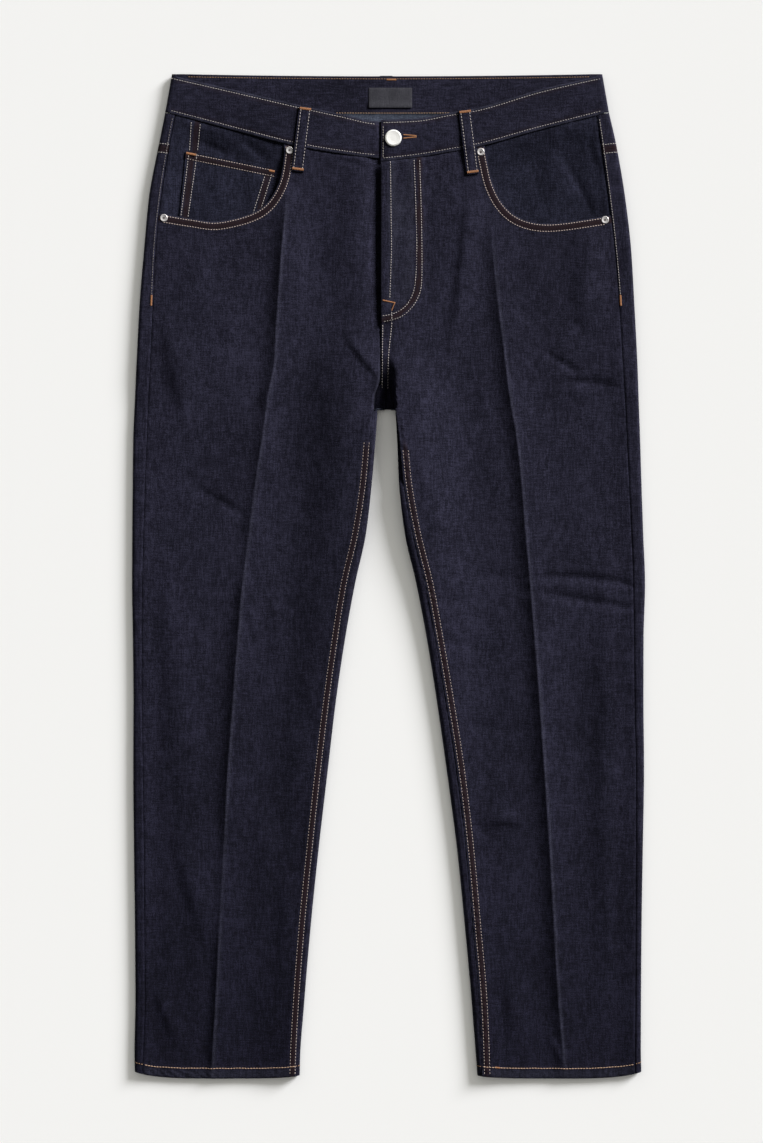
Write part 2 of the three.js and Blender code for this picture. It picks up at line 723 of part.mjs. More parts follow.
for (const leg of [rightLeg, leftLeg]) {
  addFront(leg);
  addBack(leg);
  addYoke(leg);
  addFacing(leg);
  addBackPocket(leg);
}
addWaistband();
addCoinPocket();
frontLoops.forEach(addFrontLoop);
backLoops.forEach(addBackLoop);
addButton();
rivets.forEach(addRivet);
addLabel();

export default garment;
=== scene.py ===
import math
from functools import partial

import bpy
import numpy as np
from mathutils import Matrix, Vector, geometry


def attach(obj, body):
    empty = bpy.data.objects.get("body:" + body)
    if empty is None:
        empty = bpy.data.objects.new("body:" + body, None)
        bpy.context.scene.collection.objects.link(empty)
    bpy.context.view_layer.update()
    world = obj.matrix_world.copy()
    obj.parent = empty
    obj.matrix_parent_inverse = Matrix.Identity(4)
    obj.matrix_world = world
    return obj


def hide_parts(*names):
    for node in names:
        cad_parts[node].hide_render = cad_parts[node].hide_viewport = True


# Carrot fit jeans laid flat with the front up. Sizes are in millimetres, made metres when a mesh
# is built. The wearer's right side is at -X, the waist is towards +Y.
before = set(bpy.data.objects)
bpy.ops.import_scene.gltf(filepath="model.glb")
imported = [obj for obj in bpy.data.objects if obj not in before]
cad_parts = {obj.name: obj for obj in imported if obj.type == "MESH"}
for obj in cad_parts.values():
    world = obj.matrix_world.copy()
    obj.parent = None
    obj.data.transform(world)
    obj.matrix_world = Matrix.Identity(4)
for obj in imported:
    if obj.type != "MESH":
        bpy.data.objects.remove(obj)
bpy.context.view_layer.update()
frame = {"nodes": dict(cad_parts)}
millimetre = 0.001
bpy.ops.object.select_all(action="DESELECT")
print("frame loaded")


def smooth(value, low, high):
    share = np.clip((np.asarray(value, float) - low) / (high - low), 0, 1)
    return share * share * (3 - 2 * share)


def mix(a, b, share):
    return a + (b - a) * share


def bump(distance, width):
    return np.exp(-((distance / width) ** 2))


def asCurve(column):  # a smooth line through the given values, with no overshoot
    at = np.array(sorted(column), float)
    values = np.array([column[key] for key in sorted(column)], float)
    steps = np.diff(values) / np.diff(at)
    before = np.concatenate((steps[:1], steps))
    after = np.concatenate((steps, steps[-1:]))
    total = np.where(before * after > 0, before + after, 1)
    slopes = np.where(before * after > 0, 2 * before * after / total, 0)

    def read(wanted):
        where = np.clip(wanted, at[0], at[-1])
        i = np.clip(np.searchsorted(at, where) - 1, 0, len(at) - 2)
        span = at[i + 1] - at[i]
        t = (where - at[i]) / span
        rise = values[i + 1] - values[i]
        first = slopes[i] * span - rise
        second = rise - slopes[i + 1] * span
        return values[i] + rise * t + t * (1 - t) * (first * (1 - t) + second * t)

    return read


def ripple(x, y, sizeX, sizeY, seed):  # soft uneven waves from -1 to 1
    lattice = np.random.default_rng(seed).uniform(-1, 1, (64, 64))
    u, v = np.asarray(x) / sizeX + 500.3, np.asarray(y) / sizeY + 500.7
    i, j = np.floor(u).astype(int), np.floor(v).astype(int)
    s, t = smooth(u - i, 0, 1), smooth(v - j, 0, 1)
    low = mix(lattice[i % 64, j % 64], lattice[(i + 1) % 64, j % 64], s)
    high = mix(lattice[i % 64, (j + 1) % 64], lattice[(i + 1) % 64, (j + 1) % 64], s)
    return mix(low, high, t)


def distanceTo(x, y, path):  # distance from points to a line of points
    x, y = np.atleast_1d(x).astype(float), np.atleast_1d(y).astype(float)
    nearest = np.full(x.shape, 1e9)
    for (x0, y0), (x1, y1) in zip(path[:-1], path[1:]):
        dx, dy = x1 - x0, y1 - y0
        along = np.clip(((x - x0) * dx + (y - y0) * dy) / max(dx * dx + dy * dy, 1e-9), 0, 1)
        nearest = np.minimum(nearest, np.hypot(x - x0 - along * dx, y - y0 - along * dy))
    return nearest


def throughPoints(points, count):  # a rounded line through a few points
    given = np.array(points, float)
    padded = np.vstack((2 * given[0] - given[1], given, 2 * given[-1] - given[-2]))
    line = []
    for p0, p1, p2, p3 in zip(padded[:-3], padded[1:-2], padded[2:-1], padded[3:]):
        for t in np.linspace(0, 1, count, endpoint=False):
            line.append(
                0.5
                * (
                    2 * p1
                    + (p2 - p0) * t
                    + (2 * p0 - 5 * p1 + 4 * p2 - p3) * t**2
                    + (3 * p1 - p0 - 3 * p2 + p3) * t**3
                )
            )
    line.append(given[-1])
    return np.array(line)


def evenly(path, spacing):  # the same line with points at even steps
    path = np.asarray(path, float)
    lengths = np.concatenate(([0], np.cumsum(np.linalg.norm(np.diff(path, axis=0), axis=1))))
    count = max(int(round(lengths[-1] / spacing)), 1)
    at = np.linspace(0, lengths[-1], count + 1)
    return np.column_stack([np.interp(at, lengths, path[:, k]) for k in range(path.shape[1])])


# Camera straight above, with a long lens
view = {"place": (-7.2, 4.7, 3244.6), "lens": 100, "sensor": 36}
bpy.ops.object.camera_add(location=Vector(view["place"]) * millimetre, rotation=(0, 0, 0))
camera = bpy.context.object
camera.data.lens = view["lens"]
camera.data.sensor_width = view["sensor"]
bpy.context.scene.camera = camera

# Soft light from the upper right, low enough to model the creases, and a warmer one overhead that
# reaches only the floor and the button
lamps = {
    "window": {"elevation": 23, "azimuth": 40, "spread": 24, "strength": 4.46, "tint": (1, 1, 1.03)},
    "overhead": {"elevation": 62, "azimuth": 90, "spread": 130, "strength": 1.365, "tint": (1, 0.99, 0.93)},
}
studio = {"fill": 0.06, "floor": (0.9, 0.8991, 0.8865), "floorSize": 60}


def addLamp(name, elevation, azimuth, spread, strength, tint):
    level, bearing = math.radians(elevation), math.radians(azimuth)
    flat = math.cos(level)
    toLamp = Vector((flat * math.cos(bearing), flat * math.sin(bearing), math.sin(level)))
    bpy.ops.object.light_add(type="SUN", rotation=toLamp.to_track_quat("Z", "Y").to_euler())
    lamp = bpy.context.object
    lamp.name = name
    lamp.data.energy = strength
    lamp.data.color = tint
    lamp.data.angle = math.radians(spread)
    return lamp


def newMaterial(name):
    made = bpy.data.materials.new(name)
    made.use_nodes = True
    return made, made.node_tree, made.node_tree.nodes["Principled BSDF"]


def setInputs(tree, node, values):  # an output is linked to the input, anything else is its value
    for name, value in values.items():
        if isinstance(value, bpy.types.NodeSocket):
            tree.links.new(value, node.inputs[name])
        else:
            node.inputs[name].default_value = value


addLamp("windowLight", **lamps["window"])
overhead = addLamp("overheadLight", **lamps["overhead"])
lifted = bpy.data.collections.new("liftedByOverhead")
overhead.light_linking.receiver_collection = lifted
world = bpy.data.worlds.new("studioWorld")
world.use_nodes = True
fill = {"Color": (1, 1, 1, 1), "Strength": studio["fill"]}
setInputs(world.node_tree, world.node_tree.nodes["Background"], fill)
bpy.context.scene.world = world
bpy.context.scene.view_settings.view_transform = "Standard"

bpy.ops.mesh.primitive_plane_add(size=studio["floorSize"], location=(0, 0, 0))
floor = bpy.context.object
floor.name = "studioFloor"
paper, paperTree, paperShader = newMaterial("palePaper")
matt = {"Base Color": (*studio["floor"], 1), "Roughness": 1, "Specular IOR Level": 0}
setInputs(paperTree, paperShader, matt)
floor.data.materials.append(paper)
lifted.objects.link(floor)
print("camera, light and floor ready")

# Materials
weave = {
    "noises": {  # how many turns a metre each way, and the detail
        "slub": ((640, 90, 200), 3),
        "weft": ((110, 820, 200), 2),
        "mottle": ((120, 70, 120), 3),
        "cloud": ((16, 8, 16), 2),
        "grain": ((1050, 1050, 1050), 2),
    },
    "weftShare": 0.8, "grainShare": 1.5, "contrast": 1.22, "fleck": 1.1, "middle": 0.45, "wornAndLitLift": 0.35,
    "relief": 0.12, "gloss": 0.18,
}
# painted shade: how far the cloth darkens towards the hems, in place of light falling off from the upper
# right
paintedFalloff = {"lean": (0.2, 1, 0), "from": -0.5, "to": 0.1, "hem": (0.45, 0.45, 0.53), "waist": (0.92, 0.92, 0.94)}


def addNode(tree, kind, **settings):
    node = tree.nodes.new(kind)
    for name, value in settings.items():
        setattr(node, name, value)
    return node


def mathNode(tree, operation, result, *others):  # more than two values are taken in turn
    for value in others:
        node = addNode(tree, "ShaderNodeMath", operation=operation)
        setInputs(tree, node, {0: result, 1: value})
        result = node.outputs[0]
    return result


def mixNode(tree, share, first, second, blend="MIX"):
    node = addNode(tree, "ShaderNodeMix", data_type="RGBA", blend_type=blend, clamp_factor=True)
    first, second = ((*value, 1) if isinstance(value, tuple) else value for value in (first, second))
    setInputs(tree, node, {0: share, 6: first, 7: second})
    return node.outputs[2]


def stretchedNoise(tree, place, scale, detail):
    grow = addNode(tree, "ShaderNodeVectorMath", operation="MULTIPLY")
    setInputs(tree, grow, {0: place, 1: scale})
    noise = addNode(tree, "ShaderNodeTexNoise")
    setInputs(tree, noise, {"Vector": grow.outputs[0], "Scale": 1, "Detail": detail})
    return noise.outputs["Fac"]


def paintFalloffShade(tree, spot, colour):  # painted shade: the colour darkens towards the hems and a little towards the wearer's right, standing in for light falling off away from the lamp at the upper right
    lean = addNode(tree, "ShaderNodeVectorMath", operation="DOT_PRODUCT")
    setInputs(tree, lean, {0: spot, 1: paintedFalloff["lean"]})
    depth = addNode(tree, "ShaderNodeMapRange")
    setInputs(tree, depth, {"Value": lean.outputs["Value"], "From Min": paintedFalloff["from"], "From Max": paintedFalloff["to"]})
    tint = mixNode(tree, depth.outputs["Result"], paintedFalloff["hem"], paintedFalloff["waist"])
    return mixNode(tree, 1, colour, tint, blend="MULTIPLY")


def buildClothGroup():
    group = bpy.data.node_groups.new("wovenDenim", "ShaderNodeTree")
    inputs = {
        "Vector": ("Place", "Spot"),
        "Color": ("Deep", "Bright", "Seam Dark", "Worn And Lit"),
        "Float": ("Slub", "Mottle", "Seam And Light Tone"),
    }
    for kind, names in inputs.items():
        for name in names:
            group.interface.new_socket(name, in_out="INPUT", socket_type=f"NodeSocket{kind}")
    group.interface.new_socket("Color", in_out="OUTPUT", socket_type="NodeSocketColor")
    group.interface.new_socket("Height", in_out="OUTPUT", socket_type="NodeSocketFloat")
    given = addNode(group, "NodeGroupInput").outputs
    result = addNode(group, "NodeGroupOutput")
    part = {}
    for name, (scale, detail) in weave["noises"].items():
        noise = stretchedNoise(group, given["Place"], scale, detail)
        part[name] = mathNode(group, "SUBTRACT", noise, 0.5)
    slubPart = mathNode(group, "MULTIPLY", part["slub"], given["Slub"])
    weftPart = mathNode(group, "MULTIPLY", part["weft"], weave["weftShare"])
    grainPart = mathNode(group, "MULTIPLY", part["grain"], weave["grainShare"])
    cloudy = mathNode(group, "ADD", part["mottle"], part["cloud"])
    mottlePart = mathNode(group, "MULTIPLY", cloudy, given["Mottle"])
    fibres = mathNode(group, "ADD", slubPart, weftPart, grainPart)
    shade = mathNode(group, "ADD", fibres, mottlePart)
    flecks = mathNode(group, "MULTIPLY", shade, shade, weave["fleck"])
    contrast = mathNode(group, "MULTIPLY", shade, weave["contrast"])
    level = mathNode(group, "ADD", contrast, flecks, weave["middle"])
    # painted shade: the woven colour is darkened towards the hems
    plain = paintFalloffShade(group, given["Spot"], mixNode(group, level, given["Deep"], given["Bright"]))
    # the seam tone below 0 darkens the strips between rows; above 0 it mixes in the worn colour, for rubbed
    # edges and also for the painted highlight beside the crease and the painted light on the fly strip
    seamShare = mathNode(group, "MULTIPLY", given["Seam And Light Tone"], -1.0)
    darker = mixNode(group, seamShare, plain, given["Seam Dark"])
    brighter = mathNode(group, "ADD", level, weave["wornAndLitLift"])
    wornAndLitShare = mathNode(group, "MULTIPLY", given["Seam And Light Tone"], brighter)
    worn = mixNode(group, wornAndLitShare, darker, given["Worn And Lit"])
    setInputs(group, result, {"Color": worn, "Height": fibres})
    return group


clothGroup = buildClothGroup()


def clothMaterial(name, deep, bright, seamDark, worn, slub=1.0, mottle=0.5, turn=0, roughness=0.92):
    made, tree, shader = newMaterial(name)
    place = addNode(tree, "ShaderNodeTexCoord").outputs["Object"]
    turned = addNode(tree, "ShaderNodeMapping")
    setInputs(tree, turned, {"Vector": place, "Rotation": (0, 0, math.radians(turn))})
    tone = addNode(tree, "ShaderNodeAttribute", attribute_name="seamAndLightTone")
    woven = addNode(tree, "ShaderNodeGroup", node_tree=clothGroup)
    tones = {"Deep": (*deep, 1), "Bright": (*bright, 1), "Seam Dark": (*seamDark, 1), "Worn And Lit": (*worn, 1)}
    setInputs(tree, woven, {**tones, "Slub": slub, "Mottle": mottle})
    places = {"Place": turned.outputs["Vector"], "Spot": place, "Seam And Light Tone": tone.outputs["Fac"]}
    setInputs(tree, woven, places)
    relief = addNode(tree, "ShaderNodeBump")
    depth = weave["relief"] * millimetre
    setInputs(tree, relief, {"Strength": 1, "Distance": depth, "Height": woven.outputs["Height"]})
    setInputs(tree, shader, {"Base Color": woven.outputs["Color"], "Normal": relief.outputs["Normal"]})
    setInputs(tree, shader, {"Roughness": roughness, "Specular IOR Level": weave["gloss"]})
    return made


# worn is the colour of rubbed edges, and on the fronts also of the painted highlight beside the crease and
# the painted light on the fly strip
denimTones = {
    "deep": (0.0015, 0.0012, 0.0060),
    "bright": (0.0480, 0.0460, 0.0800),
    "seamDark": (0.0265, 0.0126, 0.0136),
    "worn": (0.088, 0.090, 0.125),
}
reverseTones = {
    "deep": (0.030, 0.036, 0.052),
    "bright": (0.150, 0.175, 0.235),
    "seamDark": (0.03, 0.03, 0.04),
    "worn": (0.4, 0.4, 0.48),
}
facingTones = {**denimTones, "deep": (0.0013, 0.0013, 0.0060), "bright": (0.0440, 0.0455, 0.0790)}
denim = clothMaterial("rawDenim", **denimTones)
facingDenim = clothMaterial("facingDenim", **facingTones)
denimAcross = clothMaterial("rawDenimAcross", **denimTones, turn=90)
denimReverse = clothMaterial("denimReverse", **reverseTones)

threadColours = {
    "beige": (0.72, 0.65, 0.60),
    "sand": (0.72, 0.58, 0.50),
    "hem": (0.72, 0.47, 0.31),
    "tan": (0.50, 0.29, 0.15),
    "tack": (0.57, 0.26, 0.115),
}
threadFinish = {"Roughness": 0.6, "Specular IOR Level": 0.3}
threadPly = {"scale": (900, 900, 900), "dark": 0.6, "light": 1.35}


def threadMaterial(name, colour):
    made, tree, shader = newMaterial(name)
    place = addNode(tree, "ShaderNodeTexCoord").outputs["Object"]
    ply = stretchedNoise(tree, place, threadPly["scale"], 2)
    dark, light = (tuple(c * threadPly[end] for c in colour) for end in ("dark", "light"))
    setInputs(tree, shader, {"Base Color": mixNode(tree, ply, dark, light), **threadFinish})
    return made


threads = {name: threadMaterial(f"{name}Thread", colour) for name, colour in threadColours.items()}
print("materials ready")


# Cloth meshes
def finishCloth(piece, thickness, inside=None):
    bpy.ops.object.select_all(action="DESELECT")
    bpy.context.view_layer.objects.active = piece
    piece.select_set(True)
    if thickness:
        wall = piece.modifiers.new("wall", "SOLIDIFY")
        wall.thickness = thickness * millimetre
        wall.offset = -1
        wall.material_offset = 1 if inside else 0
        wall.material_offset_rim = 0
        bpy.ops.object.modifier_apply(modifier=wall.name)
    bpy.ops.object.shade_smooth_by_angle(angle=math.radians(55))
    piece.select_set(False)


def meshFrom(name, points, faces, material, inside=None, tone=None):
    mesh = bpy.data.meshes.new(name)
    mesh.from_pydata(np.asarray(points) * millimetre, [], faces)
    if tone is not None:
        seamAndLightTone = mesh.attributes.new("seamAndLightTone", "FLOAT", "POINT")
        seamAndLightTone.data.foreach_set("value", np.ravel(tone).astype(np.float32))
    mesh.materials.append(material)
    if inside:
        mesh.materials.append(inside)
    piece = bpy.data.objects.new(name, mesh)
    bpy.context.collection.objects.link(piece)
    return piece


def gridCloth(name, grid, thickness, material, flip=False, inside=None, tone=None):
    rows, columns = grid.shape[:2]
    corner = (np.arange(rows - 1)[:, None] * columns + np.arange(columns - 1)[None, :]).ravel()
    around = (corner, corner + 1, corner + columns + 1, corner + columns)
    faces = np.column_stack(around[::-1] if flip else around)
    piece = meshFrom(name, grid.reshape(-1, 3), faces.tolist(), material, inside, tone)
    finishCloth(piece, thickness, inside)
    return piece


def insideOf(x, y, outline):
    crossings = np.zeros(x.shape, int)
    closed = np.vstack((outline, outline[:1]))
    for (x0, y0), (x1, y1) in zip(closed[:-1], closed[1:]):
        if y0 != y1:
            spans = (y0 > y) != (y1 > y)
            crossings += spans & (x < x0 + (y - y0) * (x1 - x0) / (y1 - y0))
    return crossings % 2 == 1


edgeOffsets = (0.6, 1.4, 2.4, 3.6, 5.0, 6.4, 7.8, 9.4, 11.2)  # rows of points along a panel's edge


def panelCloth(name, outline, fill, heightAt, toneAt, thickness, material):
    # a panel meshed in rows along its edge, with the given points inside
    outline = np.asarray(outline)
    area = np.sum(outline[:, 0] * np.roll(outline[:, 1], -1) - outline[:, 1] * np.roll(outline[:, 0], -1))
    outline = outline if area > 0 else outline[::-1]
    forward = np.roll(outline, -1, axis=0) - np.roll(outline, 1, axis=0)
    forward /= np.linalg.norm(forward, axis=1)[:, None]
    inward = np.column_stack((-forward[:, 1], forward[:, 0]))
    closed = np.vstack((outline, outline[:1]))
    coarse = closed[::3] if len(closed) % 3 == 1 else np.vstack((closed[::3], closed[:1]))
    kept = [outline]
    for offset in edgeOffsets:
        row = outline + inward * offset
        clear = distanceTo(row[:, 0], row[:, 1], closed) > offset * 0.93
        kept.append(row[clear & insideOf(row[:, 0], row[:, 1], outline)])
    clear = distanceTo(fill[:, 0], fill[:, 1], coarse) > edgeOffsets[-1] + 1.5
    kept.append(fill[clear & insideOf(fill[:, 0], fill[:, 1], outline)])
    plan = [Vector(point) for point in np.vstack(kept)]
    made = geometry.delaunay_2d_cdt(plan, [], [list(range(len(outline)))], 1, 1e-4)
    flat = np.array([tuple(point) for point in made[0]])
    points = np.column_stack((flat, heightAt(flat[:, 0], flat[:, 1])))
    piece = meshFrom(name, points, made[2], material, tone=toneAt(flat[:, 0], flat[:, 1]))
    finishCloth(piece, thickness)
    return piece


# The cut of the legs seen from above: outer and inner side folds, the edges of the front panel
# and the pressed crease, each by height up the garment. A row of folds is one wrinkle: x and y of
# its two ends, width, height (a trough is below 0), skew and bow.
rightLeg = {
    "name": "right",
    "side": -1,
    "outer": {
        473: -227.8, 442: -234, 386: -244.5, 333: -249.5, 281: -253.8, 215: -257.3, 185: -258.7,
        170: -259.4, 142: -260.6, 96: -261.2, 44: -261.6, -8: -261.8, -65: -261, -126: -260.4,
        -198: -260.6, -280: -259.9, -356: -258.9, -432: -258.4, -490: -259.4, -513: -259,
    },
    "outseam": {
        473: -217, 442: -223, 386: -232, 333: -237.5, 281: -240, 215: -243, 185: -244.7, 170: -245.4,
        142: -246.3, 96: -248.2, 44: -249.8, -8: -251, -65: -251.5, -126: -251.3, -198: -250.4,
        -280: -249.4, -356: -248.9, -432: -248.3, -490: -250, -513: -250.3,
    },
    "crease": {
        386: -104, 360: -106.5, 333: -109, 281: -112.8, 240: -115.4, 215: -116.8, 185: -123, 142: -128.8,
        96: -135.8, 44: -142.5, -8: -148.9, -65: -154, -126: -158.6, -198: -164, -280: -168.4,
        -356: -172.6, -432: -176.4, -490: -179.8, -513: -181,
    },
    "inseam": {
        473: -1.8, 262: -1.8, 254: -8, 215: -8.2, 200: -8.8, 185: -13.5, 170: -14.9, 142: -18.2,
        96: -22.5, 44: -30.4, -8: -42.3, -65: -51.5, -126: -60, -198: -68.6, -280: -77.4, -356: -85,
        -432: -90.8, -490: -94, -513: -94.6,
    },
    "inner": {
        170: -10.8, 142: -13, 96: -16.9, 44: -22.9, -8: -34.2, -65: -44.5, -126: -53.5, -198: -62,
        -280: -71.5, -356: -79.3, -432: -85.8, -490: -89.8, -513: -90.4,
    },
    "press": {
        -513: 1.8, -460: 2.6, -390: 2.4, -340: 1.5, -270: 1.9, -235: 3.0, -200: 4.1, -120: 4.0, -30: 3.9,
        10: 2.4, 40: 2.0, 80: 2.2, 110: 3.0, 150: 3.3, 225: 3.8, 280: 4.3, 345: 4.6, 372: 2.6, 396: 0,
    },
    "pressWidth": {-513: 9, -300: 10, -200: 14, -60: 16, 30: 12, 100: 14, 200: 17, 400: 17},
    "thigh": {
        -513: 1.0, -300: 1.1, -160: 1.6, -60: 3.1, 20: 6.0, 100: 9.8, 150: 11.8, 190: 10.4, 215: 7.2,
        250: 3.2, 300: 0.8, 350: 0,
    },
    "thighCrest": {-513: 13, -200: 14, 0: 22, 150: 24, 400: 24},
    "thighReach": {-513: 40, -200: 50, 0: 72, 150: 96, 400: 96},
    "wedge": {170: -14.5, 185: -13.2, 192: -10.2, 200: -8.9, 215: -8.4, 262: -8.2},
    "wedgeWall": 2.6,
    "inseamRows": (0.9, 6.1),
    "bandLower": {-227.8: 472.6, -190: 462.8, -146: 451.2, -95: 438.4, -50: 430.6, -12: 426.2, 20: 425.5},
    "bandUpper": {-227.8: 511.7, -190: 503, -146: 492.8, -95: 481, -50: 471.2, -12: 463.8, 20: 463.6},
    "mouth": [
        (-107.2, 445), (-106.5, 426.5), (-113.5, 396.4), (-132.9, 373.2), (-172, 361.6), (-201, 364.3),
        (-236, 370),
    ],
    "inseamTop": 140,
    "bandRow": (-222, -14),
    "outseamThread": 0.32,
    "seed": 11,
    "folds": [
        (-229, 268, -207, 165, 15, 2.3, 0.42, 0), (-198, 91, -148, 64, 5, -1.5, -0.3, 0),
        (-41, 242, -11, 203, 4.8, 2.3, 0.35, 0), (-37, 266, -42, 242, 4, 0.9, 0, 0),
        (-33, 425, -38, 275, 16, 2.6, 0, 0), (-54, 424, -20, 416, 4, -0.8, 0, 0),
        (-228, 30, -207, -250, 21, 3.0, 0.15, 0), (-216, -262, -187, -366, 13, 2.4, 0.35, 0),
        (-240, -416, -214, -480, 7, 1.5, 0.35, 0), (-126, -250, -124, -322, 11, 1.3, 0, 0),
        (-105, -296, -104, -390, 11, 1.4, 0.2, 0), (-113, -26, -115, -92, 8, 1.1, 0.3, 0),
        (-146, -24, -131, -72, 4, 0.8, 0.3, 0), (-104, 84, -106, 38, 8, 0.9, 0.3, 0),
        (-78, -95, -84, -128, 9, 0.7, 0, 0), (-92, -165, -96, -215, 12, 0.8, 0, 0),
        (-196, 350, -190, 262, 20, 1.3, 0, 0), (-74, 352, -70, 292, 14, -1.2, 0, 0),
    ],
    "facingFolds": [
        (-194, 443, -163, 430, 4, -1.1, 0, 0), (-156, 449, -124, 424, 5, -1.5, 0.2, 0),
        (-176, 412, -168, 372, 9, 1.0, 0, 0), (-146, 404, -152, 372, 6, -0.7, 0, 0),
    ],
}
leftLeg = {
    "name": "left",
    "side": 1,
    "outer": {
        473: 224.8, 442: 231.9, 386: 241.4, 333: 247.5, 281: 250.6, 215: 254, 183: 255.2, 170: 255.7,
        142: 256.7, 96: 258.1, 44: 259.9, -8: 261.8, -65: 260.3, -126: 260.2, -198: 260.8, -280: 259.5,
        -356: 258.3, -432: 257.7, -490: 257.5, -513: 258,
    },
    "outseam": {
        473: 212, 442: 216.6, 386: 224.3, 333: 230.4, 281: 234.8, 215: 239, 183: 240.9, 170: 241.6,
        142: 243, 96: 245.2, 44: 247.6, -8: 249.5, -65: 250.4, -126: 250.8, -198: 252.3, -280: 252.3,
        -356: 252, -432: 251.8, -490: 251.3, -513: 251.3,
    },
    "crease": {
        386: 101, 333: 106, 281: 111, 240: 116.2, 215: 119.2, 183: 123.4, 142: 130.4, 96: 135.4,
        44: 139.6, -8: 144.2, -65: 149, -126: 153.7, -198: 158.7, -280: 164.2, -356: 168.6, -400: 170.9,
        -440: 173.6, -490: 178, -513: 179.5,
    },
    "inseam": {
        473: -7.8, 215: -7.7, 198: -6, 190: -0.5, 183: 3, 170: 6.4, 142: 10.4, 96: 15, 44: 24.3, -8: 37,
        -65: 47.6, -126: 58, -198: 69.2, -280: 78.8, -356: 85.6, -432: 92, -490: 94.6, -513: 95.2,
    },
    "inner": {
        170: 6, 142: 7.6, 96: 10.4, 44: 16.4, -8: 28.3, -65: 39.2, -126: 49, -198: 59.3, -280: 70,
        -356: 77.7, -432: 84.6, -490: 89, -513: 90.6,
    },
    "press": {
        -513: 1.4, -480: 2.3, -440: 3.1, -350: 3.8, -240: 4.6, -120: 4.7, -20: 4.4, 60: 4.3, 140: 4.1,
        200: 3.7, 240: 3.3, 290: 2.6, 330: 1.8, 372: 0,
    },
    "pressWidth": {-513: 16, -300: 18, 100: 18, 250: 15, 400: 14},
    "thigh": {
        -513: 1.4, -300: 1.8, -160: 2.2, -60: 3.6, 20: 6.8, 100: 10.4, 150: 12.6, 190: 11.2, 215: 8.0,
        250: 3.6, 300: 0.8, 350: 0,
    },
    "thighCrest": {-513: 12, -200: 12, 0: 15, 150: 16, 400: 16},
    "thighReach": {-513: 34, -200: 40, 0: 68, 150: 88, 400: 88},
    "wedge": {170: 5.4, 183: 4.4, 190: 3.8, 215: 1.8, 250: -0.5, 262: -1},
    "wedgeWall": 3.5,
    "inseamRows": (2.7, 8.1),
    "bandLower": {-8: 422.4, 27: 426.2, 64: 432.4, 90: 437.2, 153: 454.4, 190: 463.8, 224.8: 472.6},
    "bandUpper": {-8: 465, 27: 466.2, 64: 472.6, 90: 477, 153: 495.4, 190: 504.2, 224.8: 511.7},
    "mouth": [
        (96.8, 445), (100.3, 424.9), (106.3, 399.7), (116.6, 379.6), (132, 366), (153.4, 359.8),
        (180.1, 360.7), (229, 368),
    ],
    "inseamTop": 132,
    "bandRow": (-6, 216),
    "outseamThread": 0.62,
    "seed": 31,
    "folds": [
        (82, 396, 62, 232, 9, 2.8, 0.47, 3), (204, 356, 200, 258, 17, 3.2, 0.1, 0),
        (157, 231, 197, 208, 3.4, -2.2, -0.2, -1.5), (180, 198, 230, 194, 4, -2.2, -0.2, 1.5),
        (223, 200, 240, 214, 3.5, 0.8, 0, 0), (130, 276, 149, 258, 4, -0.8, 0, 0),
        (186, 262, 206, 240, 5, -0.9, 0, 0), (142, -2, 254, -11, 4.2, -2.8, 0.2, 4),
        (142, -15, 254, -34, 4.4, -2.5, 0.2, -1), (78, 0, 130, -1, 5, -1.3, 0, 0),
        (52, -26, 84, -25, 5, -1.5, 0, 0), (60, -46, 88, -44, 4.5, -0.6, 0, 0),
        (60, -70, 92, -68, 5, -1.3, 0, 0), (74, -150, 122, -158, 5, -1.4, 0, 0),
        (92, 200, 98, 164, 4, 0.8, 0.4, 0), (88, -253, 102, -266, 4, -1.6, 0, 0),
        (96, -249, 140, -250, 7, 2.5, 0.4, 0), (178, -231, 202, -235, 3.6, -0.9, 0, 0),
        (222, -364, 247, -381, 4.5, -0.8, 0, 0), (162, -466, 177, -496, 2.8, 1.1, 0, 0),
        (122, -405, 130, -474, 10, 1.5, 0.2, 0), (224, 60, 222, -440, 20, 3.0, 0.3, 0),
        (30, 118, 48, 52, 7, 0.9, 0.3, 0), (222, -172, 236, -196, 5, -0.6, 0, 0),
    ],
    "facingFolds": [
        (176, 431, 208, 366, 4, -1.2, 0.2, 1.5), (103, 417, 128, 421, 2.6, -0.7, 0, 0),
        (204, 442, 217, 402, 4.5, -0.7, 0, 0), (146, 440, 152, 390, 9, -0.6, 0, 0),
        (166, 436, 172, 380, 10, 0.8, 0, 0),
    ],
}
legs = (rightLeg, leftLeg)
for leg in legs:
    for column in [key for key, value in leg.items() if isinstance(value, dict)]:
        leg[column] = asCurve(leg[column])
    leg["mouth"] = throughPoints(leg["mouth"], 12)

tube = {
    "wall": 1.3, "lift": 0.3, "seatLift": 1.5, "legFold": 7.4, "hipFold": 7.6, "legMiddle": 5.2,
    "hipMiddle": 7.1, "outerFall": 24, "innerFall": 72, "waistSeam": 473, "waistTop": 512.5,
    "hemLine": -512.5, "hemLift": 7, "hemLiftInner": 3.2, "hemReach": 60, "forkEdge": 170,
    "forkHeight": 3.9, "crotchPoint": 191, "forkTop": 199, "centreBack": -2.4, "seamGap": 0.3,
    "valleyFloor": 4.6,
}


def foldHeight(folds, x, y):
    height = np.zeros(np.shape(x))
    for x0, y0, x1, y1, width, rise, skew, bow in folds:
        length = math.hypot(x1 - x0, y1 - y0)
        dx, dy = (x1 - x0) / length, (y1 - y0) / length
        fromMiddleX, fromMiddleY = x - (x0 + x1) / 2, y - (y0 + y1) / 2
        along = (fromMiddleX * dx + fromMiddleY * dy) / (length / 2)
        across = fromMiddleY * dx - fromMiddleX * dy - bow * (1 - along**2)
        widths = width * np.where(across > 0, 1 + skew, 1 - skew)
        height += rise * np.exp(-1.3 * np.abs(along) ** 3) * bump(across, widths)
    return height


